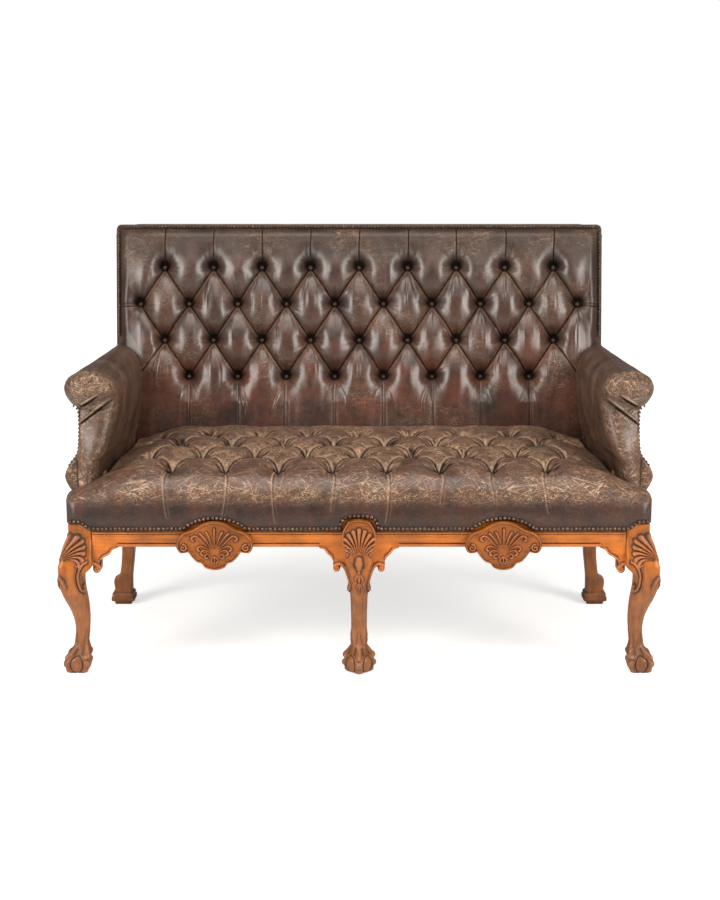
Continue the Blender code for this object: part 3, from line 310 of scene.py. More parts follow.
def tidy_normals(obj, merge=SOFT_MERGE):
    """Merges doubles and turns every face outwards."""
    return edit_all(obj, (bpy.ops.mesh.remove_doubles, {"threshold": merge}),
                    (bpy.ops.mesh.normals_make_consistent, {"inside": False}))


def mark_points(mesh, marks):
    """Stores named values at a mesh's points, for the materials."""
    for name, values in marks.items():
        layer = mesh.attributes.new(name, "FLOAT", "POINT")
        layer.data.foreach_set("value", np.asarray(values, np.float32).ravel())


def mesh_object(name, points, faces, marks):
    """A mesh from arrays of points and faces, with the values at its points."""
    mesh = bpy.data.meshes.new(name)
    mesh.from_pydata(np.asarray(points, float).reshape(-1, 3).tolist(), [], [list(map(int, f)) for f in faces])
    mark_points(mesh, marks)
    obj = bpy.data.objects.new(name, mesh)
    bpy.context.scene.collection.objects.link(obj)
    return obj


def apply_modifier(obj, kind, **settings):
    activate(obj)
    modifier = obj.modifiers.new(kind.title(), kind)
    for key, value in settings.items():
        setattr(modifier, key, value)
    bpy.ops.object.modifier_apply(modifier=modifier.name)


def finish_piece(obj, material, replaced, angle):
    """Puts the object at the origin, shades it, and hangs it on the settee."""
    activate(obj)
    bpy.ops.object.transform_apply(location=True, rotation=True, scale=True)
    bpy.ops.object.shade_smooth_by_angle(angle=math.radians(angle))
    obj.data.materials.clear()
    obj.data.materials.append(material)
    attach(obj, "root")
    if replaced:
        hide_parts(*replaced)
    deselect()


def cap(segments, rings, diameter, below):
    """Points and faces of a ball that is cut off some way below its middle and closed."""
    deselect()
    bpy.ops.mesh.primitive_uv_sphere_add(segments=segments, ring_count=rings, radius=diameter / 2)
    ball = edit_all(new_primitive("cap"), (bpy.ops.mesh.bisect, {
        "plane_co": (0, 0, -below), "plane_no": (0, 0, -1), "clear_outer": True, "use_fill": True}))
    points = np.array([vertex.co for vertex in ball.data.vertices])
    faces = [list(polygon.vertices) for polygon in ball.data.polygons]
    bpy.data.objects.remove(ball)
    return points, faces


def axes_out(out):
    """Three axes of a small form that looks out level or nearly so."""
    out = np.asarray(out, float) / np.linalg.norm(out)
    right = np.cross((0, 0, 1), out)
    right /= np.linalg.norm(right)
    return np.array([right, np.cross(out, right), out])


def scatter(name, form, places, material, slot, **marks):
    """One piece of many small forms, each at a place with its own three axes."""
    shape, faces = form
    points, every = [], []
    for centre, axes in places:
        every += [[i + len(points) * len(shape) for i in face] for face in faces]
        points.append(np.asarray(centre) + shape @ axes)
    points = np.vstack(points)
    marks = {mark: np.full(len(points), value) for mark, value in marks.items()}
    finish_piece(mesh_object(name, points, every, marks), material, (), 50)


# Materials

def rgba(value):
    return (*value, 1.0)


def tinted(face, share):
    """A colour made darker or lighter."""
    return tuple(share * c for c in face)


def mixed(first, second, share):
    """A colour with some share of the first and the rest of the second."""
    return tuple(share * a + (1 - share) * b for a, b in zip(first, second))


class Nodes:
    """Nodes of a material or of the world, with short calls for those that are used most."""

    def __init__(self, tree):
        self.tree = tree

    def add(self, kind, settings=None, **inputs):
        """Adds a node, and sets its properties and inputs."""
        node = self.tree.nodes.new(kind)
        for key, value in (settings or {}).items():
            setattr(node, key, value)
        return self.feed(node, **inputs)

    def feed(self, node, **inputs):
        """Links other nodes' outputs to a node's inputs, or sets them. An input has a name, or a number as in i0."""
        for key, value in inputs.items():
            numbered = key[0] == "i" and key[1:].isdigit()
            socket = node.inputs[int(key[1:]) if numbered else key.replace("_", " ")]
            if isinstance(value, bpy.types.NodeSocket):
                self.tree.links.new(value, socket)
            else:
                socket.default_value = value
        return node

    def place(self):
        return self.add("ShaderNodeTexCoord").outputs["Object"]

    def mark(self, name):
        return self.add("ShaderNodeAttribute", {"attribute_name": name}).outputs["Fac"]

    def stretched(self, place, scale):
        return self.add("ShaderNodeMapping", Vector=place, Scale=tuple(scale)).outputs[0]

    def math(self, operation, first, second=0.0, clamp=False):
        return self.add("ShaderNodeMath", {"operation": operation, "use_clamp": clamp}, i0=first, i1=second).outputs[0]

    def times(self, first, second, clamp=False):
        return self.math("MULTIPLY", first, second, clamp)

    def plus(self, first, *others):
        for other in others:
            first = self.math("ADD", first, other)
        return first

    def most(self, first, *others):
        for other in others:
            first = self.math("MAXIMUM", first, other)
        return first

    def noise(self, place, scale, detail, **others):
        return self.add("ShaderNodeTexNoise", Vector=place, Scale=scale, Detail=detail, **others).outputs["Fac"]

    def ramp(self, factor, *stops):
        """A colour ramp. A stop is a place and a colour."""
        node = self.add("ShaderNodeValToRGB", Fac=factor)
        elements = node.color_ramp.elements
        while len(elements) < len(stops):
            elements.new(0.5)
        for element, (place, value) in zip(elements, stops):
            element.position = place
            element.color = rgba(value)
        return node.outputs["Color"]

    def rise(self, factor, low, high):
        """From 0 to 1 between two values of the factor."""
        return self.ramp(factor, (low, (0, 0, 0)), (high, (1, 1, 1)))

    def smooth(self, value, low, high, first=0.0, last=1.0):
        """From one value to another between two places, level at both ends."""
        return self.add("ShaderNodeMapRange", {"interpolation_type": "SMOOTHSTEP"},
                        i0=value, i1=low, i2=high, i3=first, i4=last).outputs[0]

    def mix(self, factor, first, second):
        first, second = (rgba(c) if isinstance(c, tuple) else c for c in (first, second))
        return self.add("ShaderNodeMix", {"data_type": "RGBA"}, i0=factor, i6=first, i7=second).outputs[2]

    def bump(self, height, strength, distance):
        return self.add("ShaderNodeBump", Height=height, Strength=strength, Distance=distance).outputs["Normal"]


def new_material(name, face):
    """A material with its nodes and its shader."""
    material = bpy.data.materials.new(name)
    material.use_nodes = True
    material.diffuse_color = rgba(face)
    nodes = Nodes(material.node_tree)
    return material, nodes, nodes.tree.nodes["Principled BSDF"]


# directions along the front roll, as turns about the axes, and how many cells of the pattern lie across a metre
SCRATCHES = (((0.5, -0.184, 0.187), 125.0), ((-0.4, 0.244, -0.252), 150.0), ((0.3, -0.418, 0.460), 160.0),
             ((0.1, 0.493, -0.567), 140.0), ((0.6, -0.659, 0.886), 180.0), ((-0.2, 0.696, -0.988), 190.0))
RUBBINGS = (((0.2, -0.099, 0.099), 130.0), ((-0.3, 0.172, -0.174), 170.0), ((0.4, -0.304, 0.319), 150.0))


def drawn_out(nodes, place, turns, across, stretch):
    """Places in a pattern that is drawn out along one direction, with so many of its cells to a metre across."""
    return nodes.add("ShaderNodeMapping", {"vector_type": "TEXTURE"}, Vector=place, Rotation=turns,
                     Scale=(stretch / across, 1 / across, 1 / across)).outputs[0]


def scratch_lines(nodes, place, turns, across):
    """Fine scratches: thin level lines of a noise drawn out along one direction, broken here and there."""
    turned = drawn_out(nodes, place, turns, across, 1 / 0.065)
    off = nodes.math("ABSOLUTE", nodes.math("SUBTRACT", nodes.noise(turned, 1.0, 0.4, Roughness=0.4), 0.5))
    line = nodes.ramp(off, (0.0, (1, 1, 1)), (0.026, (0, 0, 0)))
    return nodes.times(line, nodes.rise(nodes.noise(turned, 0.9, 2.0), 0.48, 0.56))


def rubbed_strokes(nodes, place, turns, across):
    """Soft broken strokes of bare hide, a few millimetres wide and some eight times as long."""
    turned = drawn_out(nodes, place, turns, across, 8)
    return nodes.rise(nodes.noise(turned, 1.0, 2.0, Roughness=0.5), 0.42, 0.78)


def worn_leather(name):
    """Old dyed hide, rubbed to a shine: mottled brown, dark with painted shade and dirt in the folds, tan and scratched
    where it is sat on.
    """
    palette = colours()
    material, nodes, shader = new_material(name, palette.leather)
    place = nodes.place()
    fold, lip, rubbed, warm = map(nodes.mark, ("fold", "lip", "rubbed", "warm"))
    # cloudy dye, patches about 60 mm and 14 mm across, redder where it is warm
    cloud = nodes.noise(place, 16.0, 4.0, Roughness=0.6)
    mottle = nodes.noise(place, 70.0, 3.0, Roughness=0.55)
    dye = nodes.plus(nodes.times(cloud, 0.74), nodes.times(mottle, 0.26))
    deep = mixed(palette.leather_dark, palette.leather, 0.5)
    brown, red = (nodes.ramp(dye, (0.36, deep), (0.50, hide), (0.66, tinted(hide, light)))
                  for hide, light in ((palette.leather, 1.45), (palette.leather_red, 1.5)))
    worn = nodes.mix(nodes.times(warm, 0.82), brown, red)
    # scratches in several directions along the front roll, 5 to 8 mm apart, where the hide is rubbed
    lines = nodes.most(*(scratch_lines(nodes, place, *way) for way in SCRATCHES))
    patch = nodes.rise(nodes.noise(place, 24.0, 4.0), 0.36, 0.64)
    shown = nodes.plus(nodes.times(rubbed, nodes.plus(patch, 0.45)), 0.03)
    scuffed = nodes.times(lines, shown, clamp=True)
    # rubbed patches, with the tan hide showing through in strokes 5 to 7 mm wide, and along the lips of the folds
    broken = nodes.most(*(rubbed_strokes(nodes, place, *way) for way in RUBBINGS))
    tan = nodes.times(nodes.times(broken, rubbed), nodes.plus(patch, 0.12), clamp=True)
    ragged = nodes.times(lip, nodes.plus(mottle, 0.15), clamp=True)
    for bare, share, light in ((rubbed, 0.105, 1.0), (tan, 0.20, 1.0), (scuffed, 0.90, 1.5), (ragged, 0.9, 1.2)):
        worn = nodes.mix(nodes.times(bare, share), worn, tinted(palette.leather_worn, light))
    # the fold mark paints shade, with dirt, into the folds and pockets: darker hide and less reflection
    depth = nodes.times(nodes.times(fold, 1.4, clamp=True), 0.94)
    # gloss varies with handling, and the folds, where painted shade and dirt lie, are dark, dull and reflect little
    gloss = nodes.plus(nodes.times(mottle, 0.16), 0.245, nodes.times(rubbed, 0.16), nodes.times(depth, 0.3))
    clean_and_lit = nodes.math("SUBTRACT", 1.0, depth)
    shine = nodes.times(clean_and_lit, nodes.math("SUBTRACT", 0.66, nodes.times(rubbed, 0.46)))
    # the grain is pores about 2 mm apart, with the scratches cut in
    pores = nodes.add("ShaderNodeTexVoronoi", Vector=place, Scale=520.0).outputs["Distance"]
    grain = nodes.math("SUBTRACT", nodes.plus(nodes.times(pores, 0.18), mottle), nodes.times(scuffed, 0.35))
    nodes.feed(shader, Base_Color=nodes.mix(depth, worn, tinted(palette.leather_dark, 0.4)), Roughness=gloss, IOR=1.5,
               Specular_IOR_Level=shine, Coat_Weight=nodes.times(clean_and_lit, 0.10), Coat_Roughness=0.26,
               Normal=nodes.bump(grain, 0.30, 0.0014))
    return material


def polished_walnut(name, along, face, lower=None):
    """Waxed walnut: warm brown with long dark grain, old wax and painted shade in and round the carving, and bright
    where its ridges are rubbed, which is also a painted highlight.
    """
    palette = colours()
    material, nodes, shader = new_material(name, face)
    place = nodes.place()
    recess, ridge = map(nodes.mark, ("recess", "ridge"))
    # grain about 2.5 mm across and 20 times as long
    stretch = [110.0, 110.0, 110.0]
    stretch[along] = 5.0
    grain = nodes.noise(nodes.stretched(place, stretch), 1.0, 6.0, Roughness=0.62)
    figure = nodes.noise(place, 11.0, 3.0, Distortion=0.6)
    tone = nodes.plus(nodes.times(grain, 0.55), nodes.times(figure, 0.45))

    def streaked(shade):
        pale = tuple(min(1.0, 1.35 * c) for c in shade)
        return nodes.ramp(tone, (0.36, mixed(palette.wood_dark, shade, 0.45)), (0.50, shade), (0.64, pale))

    base = streaked(face)
    if lower is not None:
        # the leg is greyer below the knee, where feet and brooms have dulled it
        height = nodes.add("ShaderNodeSeparateXYZ", Vector=place).outputs["Z"]
        base = nodes.mix(nodes.smooth(height, 0.16, 0.29), streaked(lower), base)
    # old polish lies darker in patches about 35 mm across, and the pores are short dark strokes in the grain
    patches = nodes.rise(nodes.noise(place, 28.0, 4.0, Roughness=0.6), 0.46, 0.70)
    dots = nodes.rise(nodes.noise(nodes.stretched(place, tinted(stretch, 5.2)), 1.0, 2.0), 0.60, 0.72)
    # the recess mark paints old wax and shade in and round the carving: darker and rougher
    waxed_and_shaded = nodes.times(recess, nodes.plus(nodes.noise(place, 90.0, 4.0), 0.42), clamp=True)
    # the ridges are paler: rubbed polish, and a painted highlight
    bright = tuple(0.75 * c + 0.11 for c in face)
    for share, shade in ((nodes.times(patches, 0.34), tuple(palette.wood_dark)),
                         (nodes.times(dots, 0.35), tuple(palette.wood_dark)),
                         (waxed_and_shaded, tinted(palette.wood_dark, 0.62)),
                         (nodes.times(ridge, 0.45, clamp=True), bright)):
        base = nodes.mix(share, base, shade)
    rough = nodes.plus(nodes.times(figure, 0.16), 0.24, nodes.times(waxed_and_shaded, 0.25))
    nodes.feed(shader, Base_Color=base, Roughness=rough, IOR=1.48, Normal=nodes.bump(grain, 0.16, 0.0008))
    return material


def antique_bronze(name):
    """Nail heads with a mottled brown lacquer."""
    nail = colours().nail
    material, nodes, shader = new_material(name, nail)
    mottle = nodes.noise(nodes.place(), 160.0, 3.0)
    tone = nodes.ramp(mottle, (0.30, tinted(nail, 0.35)), (0.55, nail), (0.72, tinted(nail, 2.0)))
    rough = nodes.plus(nodes.times(mottle, 0.30), 0.22)
    nodes.feed(shader, Base_Color=tone, Roughness=rough, Metallic=0.85)
    return material


def plain_stuff(name, code, grain_mm, contrast, roughness, metallic=0.0, stretch=(1, 1, 1), weave=False):
    """An inside material: its colour broken by a grain or by a weave of real size."""
    face = linear(code)
    material, nodes, shader = new_material(name, face)
    turned = nodes.stretched(nodes.place(), stretch)
    fineness = 1000.0 / grain_mm
    if weave:
        pattern = nodes.times(*(
            nodes.add("ShaderNodeTexWave", {"wave_type": "BANDS", "bands_direction": axis}, Vector=turned,
                      Scale=fineness / 20.0, Distortion=0.6, Detail=1.0).outputs["Fac"] for axis in ("X", "Y")))
    else:
        pattern = nodes.noise(turned, fineness, 5.0, Roughness=0.6)
    high = tuple(min(1.0, c * (1 + contrast)) for c in face)
    tone = nodes.ramp(pattern, (0.25, tinted(face, 1 - contrast)), (0.5, face), (0.75, high))
    nodes.feed(shader, Base_Color=tone, Roughness=roughness, Metallic=metallic,
               Normal=nodes.bump(pattern, 0.3, 0.0006))
    return material


def shared(name, make, *values):
    """A material that several pieces share, made the first time it is asked for."""
    return bpy.data.materials.get(name) or make(name, *values)


def leather_material():
    return shared("aniline leather, worn", worn_leather)


def rail_material():
    return shared("waxed walnut, rails", polished_walnut, 0, tuple(colours().wood))


def plate_material():
    return shared("waxed walnut, carved", polished_walnut, 0, tinted(colours().wood, 0.80))


def leg_material():
    return shared("waxed walnut, legs", polished_walnut, 2, tinted(colours().wood, 0.80), tuple(colours().leg))


# Tufting

def button_places(counts, row_pitch):
    """Buttons of a pad: place across and distance from the first row."""
    pitch = sizes().button_pitch
    return [((i - (count - 1) / 2) * pitch, row * row_pitch)
            for row, count in enumerate(counts) for i in range(count)]


def diagonal_pleats(spots, row_pitch):
    """Pleats between each button and its nearest neighbours in the next row."""
    pleats = []
    for x0, v0 in spots:
        for x1, v1 in spots:
            if abs(v1 - v0 - row_pitch) < 1e-6 and abs(abs(x1 - x0) - sizes().button_pitch / 2) < 1e-6:
                pleats.append((x0, v0, x1, v1, "diamond", 1.0))
    return pleats


def domes(x, v, counts, row_pitch, power=0.5):
    """Puffs of a diamond lattice: 1 in the middle of a diamond and 0 at its corners. More power is rounder."""
    a, b = x / sizes().button_pitch + (0.0 if counts[0] % 2 else 0.5), v / row_pitch
    row = np.clip(b, 0, len(counts) - 1)
    sides = []
    for lean in (0.5, -0.5):
        f = (a + lean * row) % 1.0
        sides.append(unit(4 * f * (1 - f)) ** power)
    height = 0.55 * sides[0] * sides[1] + 0.45 * (1 - (1 - sides[0]) * (1 - sides[1]))
    edge = np.interp(row, range(len(counts)), [(count - 1) / 2 for count in counts])
    beyond = np.maximum(0, np.abs(x / sizes().button_pitch) - edge)
    fade = np.maximum(0.10, 1 - 1.30 * np.abs(b - row)) * np.maximum(0, 1 - beyond / 0.6)
    return 1 - (1 - height) * fade


class Tufts:
    """What the buttons and pleats do to a flat pad, at every point of its grid."""

    def __init__(self, shape):
        self.sunk, self.crease, self.fold, self.lip, self.pucker = (np.zeros(shape) for _ in range(5))

    def deepen(self, name, near, values):
        """Keeps the larger of a layer's values and new ones, at the points that are near."""
        layer = getattr(self, name)
        layer[near] = np.maximum(layer[near], values)


def fan(angle, knots):
    """A random wave round a button, from values at even angles."""
    at = (angle / math.tau % 1.0) * len(knots)
    i = at.astype(int) % len(knots)
    f = ease(at - np.floor(at))
    return knots[i] * (1 - f) + knots[(i + 1) % len(knots)] * f


def gathers(look, x, v, spot, way, reach, strength, rng):
    """Slack leather on one side of a button: long ridges, nearly side by side, that draw together towards it."""
    far = (v - spot[1]) * way
    near = (far > 0.005) & (far < 1.4 * reach) & (np.abs(x - spot[0]) < 0.055)
    away, off = far[near], x[near] - spot[0]
    total = np.zeros_like(away)
    spread = 0.22 + 0.78 * ease(away / (0.75 * reach))
    for _ in range(11):
        tip = reach * rng.uniform(0.55, 1.3)
        path = 0.034 * rng.uniform(-1, 1) * spread
        shown = ease((away - rng.uniform(0.010, 0.018)) / 0.014) * ease((tip - away) / (0.6 * tip))
        total += rng.uniform(-0.6, 1.0) * shown * np.exp(-((off - path) / rng.uniform(0.0022, 0.0042)) ** 2)
    look.pucker[near] += sizes().pucker * strength * spread * total


def tufted(x, v, spots, pleats, crater, deep, seed, drag, bowed=0.0, burst=0.5):
    """Sinks the buttons, folds the pleats and gathers the leather above and below each button."""
    rng = np.random.default_rng(seed)
    look = Tufts(x.shape)
    for x0, v0, x1, v1, kind, strength in pleats:
        near = ((np.abs(x - (x0 + x1) / 2) < abs(x1 - x0) / 2 + 0.04)
                & (np.abs(v - (v0 + v1) / 2) < abs(v1 - v0) / 2 + 0.04))
        dx, dv = x1 - x0, v1 - v0
        size = math.hypot(dx, dv)
        along = ((x[near] - x0) * dx + (v[near] - v0) * dv) / size
        t = unit(along / size)
        bow = (bowed * np.sign(dx) + rng.uniform(-0.0018, 0.0018)) * np.sin(math.pi * t)
        side = ((v[near] - v0) * dx - (x[near] - x0) * dv) / size - bow
        away = np.hypot(side, np.maximum(0, np.maximum(-along, along - size)))
        over = side * np.sign(dx) < 0 if kind == "diamond" else side > 0
        shine = rng.uniform(0.45, 1.2)
        if kind == "diamond":
            depth = deep * (0.55 + 0.45 * (2 * t - 1) ** 2)
            width = np.where(over, 0.0026, 0.0052)
            line, dark = 0.0017, 0.72 + 0.28 * (2 * t - 1) ** 2
        elif kind == "stem":
            depth = deep * 0.34 * strength * (1 - 0.6 * t)
            width = np.where(over, 0.0030, 0.0046)
            line, dark = 0.0015, 0.62 * strength * (1 - 0.8 * t)
            shine = 1.2 * strength * (1 - 0.7 * t)
        else:
            depth = deep * 0.32 * strength * (1 - 0.6 * t)
            width = np.where(over, 0.0024, 0.0040)
            line, dark = 0.0014, 0.65 * strength
            shine = 0.8 * strength * shine
        look.deepen("crease", near, depth * np.exp(-(away / width) ** 1.2))
        # a thin line of painted shade, with dirt, along the bottom of each pleat
        look.deepen("fold", near, dark * np.exp(-(away / line) ** 2))
        look.deepen("lip", near, np.exp(-((away - 0.0040) / 0.0018) ** 2) * shine * np.where(over, 0.3, 1.0))
    for x0, v0 in spots:
        near = np.hypot(x - x0, v - v0) < 0.10
        dx, dv = x[near] - x0, v[near] - v0
        r = np.hypot(dx, dv) + 1e-9
        down = dv / r
        look.deepen("sunk", near, np.exp(-(r / (crater * (1.0 - 0.24 * down))) ** 1.55))
        # painted shade, with dirt, in the pocket round each button, reaching further above it than below
        look.deepen("fold", near, np.exp(-(r / (0.0170 - 0.0070 * down)) ** 2.6))
        star = fan(np.arctan2(dv, dx), rng.uniform(-1, 1, 34)) * np.exp(-((r - 1.35 * crater) / 0.014) ** 2)
        look.pucker[near] += sizes().pucker * burst * star
        look.deepen("lip", near, np.clip(1.6 * burst * star - 0.32, 0, 0.9))
        # painted shade in the hollows of the fine folds round the button
        look.deepen("fold", near, np.clip(-1.1 * burst * star - 0.25, 0, 0.6))
        for way, reach in zip((-1, 1), drag):
            gathers(look, x, v, (x0, v0), way, reach * rng.uniform(0.7, 1.15), 0.4 + 1.5 * rng.uniform(), rng)
    look.fold = unit(look.fold)
    return look


def crease_triangles(rows, columns, fold):
    """Two triangles for each cell of a grid, split along the diagonal that follows a fold."""
    quads = sheet_faces(rows, columns)
    fold = fold.ravel()
    a, b, c, d = quads.T
    rising = (fold[a] + fold[c] >= fold[b] + fold[d])[:, None]
    first = np.where(rising, np.stack([a, b, c], -1), np.stack([a, b, d], -1))
    second = np.where(rising, np.stack([a, c, d], -1), np.stack([b, c, d], -1))
    return np.vstack([first, second])


def slow_noise(x, v, scale, seed):
    """A soft wandering value between about -1 and 1, from a few slanted waves."""
    rng = np.random.default_rng(seed)
    total = np.zeros_like(x)
    for _ in range(7):
        angle, phase = rng.uniform(0, math.tau, 2)
        step = rng.uniform(0.6, 1.7) * math.tau / scale
        total += np.sin((x * math.cos(angle) + v * math.sin(angle)) * step + phase)
    return total / 4.0


def close_under(points, faces, rows, columns, base):
    """Gives a grid a skirt down to its base and one face underneath, so that the pad is a closed form."""
    rim = grid_rim(rows, columns)
    ring = np.arange(len(points), len(points) + len(rim))
    skirt = np.stack([rim, ring, np.roll(ring, -1), np.roll(rim, -1)], -1)
    return np.vstack([points, base(points[rim])]), [*faces.tolist(), *skirt.tolist(), ring[::-1].tolist()], len(rim)


def pad(name, x, y, z, look, base, replaced, **marks):
    """A tufted pad from the grid of its face: closed underneath, marked for the leather and hung on the settee."""
    rows, columns = x.shape
    points = np.stack([x, y, z], -1).reshape(-1, 3)
    faces = crease_triangles(rows, columns, look.fold)
    points, faces, extra = close_under(points, faces, rows, columns, base)
    marks = {mark: np.concatenate([values.ravel(), np.zeros(extra)]) for mark, values in marks.items()}
    obj = tidy_normals(mesh_object(name, points, faces, marks))
    finish_piece(obj, leather_material(), [replaced], 60)


def border_rise(side, top):
    """Share of full height near the back's edges: the sides swell up slowly, the top edge quickly."""
    first, second = (np.sqrt(1 - (1 - unit((inward - BORDER_WIDTH) / 0.024)) ** 2) for inward in (side, top))
    across = 0.74 * first + 0.26 * ease((side - BORDER_WIDTH) / 0.095)
    upward = 0.60 * second + 0.40 * ease((top - BORDER_WIDTH) / 0.120)
    return across * upward


def back_height(full, v, side, top):
    """How far the back's leather stands out where it is so full: more low down, and less towards its edges."""
    return BORDER_OUT + (full + 0.014 * ease(v / (4 * BACK_ROW_PITCH)) + 0.008) * border_rise(side, top)


class SETTEE_OT_back(bpy.types.Operator):
    """Deep-buttoned back: puffed diamonds between folded pleats, in the space of its solid."""

    bl_idname = "settee.back"
    bl_label = "Tufted back"

    def pleats(self, spots, top, low, half):
        """Folds between the buttons, up to the border, down to the seat and out to the sides."""
        rng = np.random.default_rng(4)
        pitch = sizes().button_pitch
        folds = diagonal_pleats(spots, BACK_ROW_PITCH)
        last = (len(BACK_COUNTS) - 1) * BACK_ROW_PITCH
        for x, v in spots:
            if v == 0:
                folds.append((x, v, x + rng.uniform(-0.003, 0.003), top + 0.014, "line", rng.uniform(0.8, 1.1)))
            if v == last:
                for side in (-1, 1):
                    off = side * rng.uniform(0.0030, 0.0052)
                    folds.append((x + off * 0.5, v, x + off, low, "line", rng.uniform(0.3, 0.8)))
        second = BACK_ROW_PITCH
        for _, sign in SIDES:
            out = sign * 4.5 * pitch
            for off in (-0.004, 0.004):
                folds.append((out, second + 0.5 * off, sign * half, second + 0.004 + off, "line", 1.1))
            folds.append((sign * 4 * pitch, 2 * BACK_ROW_PITCH, out, 2.95 * BACK_ROW_PITCH, "diamond", 1.0))
        return folds

    def execute(self, context):
        half = BACK_HALF - 0.0005
        fine = sizes().button_pitch / 76
        inner = int((half - 0.002) / fine)
        across = np.concatenate([[-half], np.arange(-inner, inner + 1) * fine, [half]])
        top_v, low_v = -BACK_FIRST_ROW + 0.0005, BACK_LENGTH - BACK_FIRST_ROW - 0.052
        step = BACK_ROW_PITCH / 34
        down = np.arange(math.ceil(top_v / step), math.floor(low_v / step) + 1) * step
        x, v = np.meshgrid(across, np.concatenate([[top_v], down, [low_v]]))
        spots = button_places(BACK_COUNTS, BACK_ROW_PITCH)
        look = tufted(x, v, spots, self.pleats(spots, top_v, low_v, half), crater=0.0165, deep=0.0060, seed=11,
                      drag=(0.075, 0.115))
        swell = 0.22 + 0.78 * domes(x, v, BACK_COUNTS, BACK_ROW_PITCH, power=0.90)
        belly = slow_noise(x, v, 0.20, 5) * 0.0014 + slow_noise(x * 3.0, v, 0.12, 6) * 0.0007
        full = sizes().back_puff * swell * (1 - 0.97 * look.sunk)
        full += look.pucker + belly - look.crease * (1 - look.sunk)
        out = back_height(full, v, half - np.abs(x), v - top_v)
        points = back_point(*clipped(x, BACK_LENGTH - BACK_FIRST_ROW - v), out)
        origin = back_point(0.0, 0.0, BACK_DECK + 0.0005)
        # dusty along the top, redder towards the seat, darker and duller along the top and the sides, and painted shade
        # towards the seat
        rubbed = 0.06 + 0.18 * ease(-v / 0.08) * ease(0.5 + slow_noise(x, v, 0.3, 7)) + 0.16 * slow_noise(x, v, 0.22, 8)
        warm = ease((v - 0.02) / 0.30) * (0.75 + 0.25 * slow_noise(x, v, 0.15, 18)) + 0.25 * slow_noise(x, v, 0.10, 19)
        darkening_and_shade = np.maximum(0.24 * ease(-v / 0.05), 0.20 * ease((np.abs(x) - half + 0.075) / 0.05))
        darkening_and_shade = darkening_and_shade + 0.30 * ease((v - low_v + 0.13) / 0.11)
        pad("tufted_back", *np.moveaxis(points, -1, 0), look,
            lambda p: p - np.outer((p - origin) @ BACK_OUT, BACK_OUT), "back_pad",
            fold=unit(look.fold + darkening_and_shade), lip=0.30 * look.lip,
            rubbed=unit(rubbed), warm=unit(warm))
        return {"FINISHED"}


def between_arms(y):
    """Half width of the seat between the arms."""
    return side_x(y) - np.interp(y, [ARM_FRONT_Y, STILE_FACE_Y], [0.055, 0.063]) - 0.002


def behind_fronts(y):
    """From 0 in front of the arms to 1 behind their fronts."""
    return ease((y - ARM_FRONT_Y + 0.01) / 0.03)


def wood_contour(x):
    """Lower edge of the front leather: level along the rail, and arched over the carved plates."""
    x = np.abs(np.asarray(x, float))
    shell = unit(1 - ((x - SHELL_X) / 0.074) ** 2)
    centre = unit(1 - (x / 0.046) ** 4)
    corner = ease((x - 0.644) / 0.030)
    rise = np.maximum(np.maximum(0.0255 * shell ** 0.8, 0.0305 * np.sqrt(centre)), 0.0165 * corner)
    return SHOW_WOOD_TOP + 0.0005 + rise


def beside_arms(x, y):
    """How far the seat falls away towards the arms, behind their fronts."""
    most = np.interp(y, [ARM_FRONT_Y, -0.15, 0.08, 0.18], [0.038, 0.045, 0.046, 0.030])
    return most * (1 - ease((between_arms(y) - np.abs(x)) / 0.15)) ** 1.5 * behind_fronts(y)


def seat_level(v):
    """Height of the seat's buttons above the rail: it rises behind the first row."""
    return 0.061 + 0.024 * (1 - (1 - unit(v / 0.3)) ** 2)


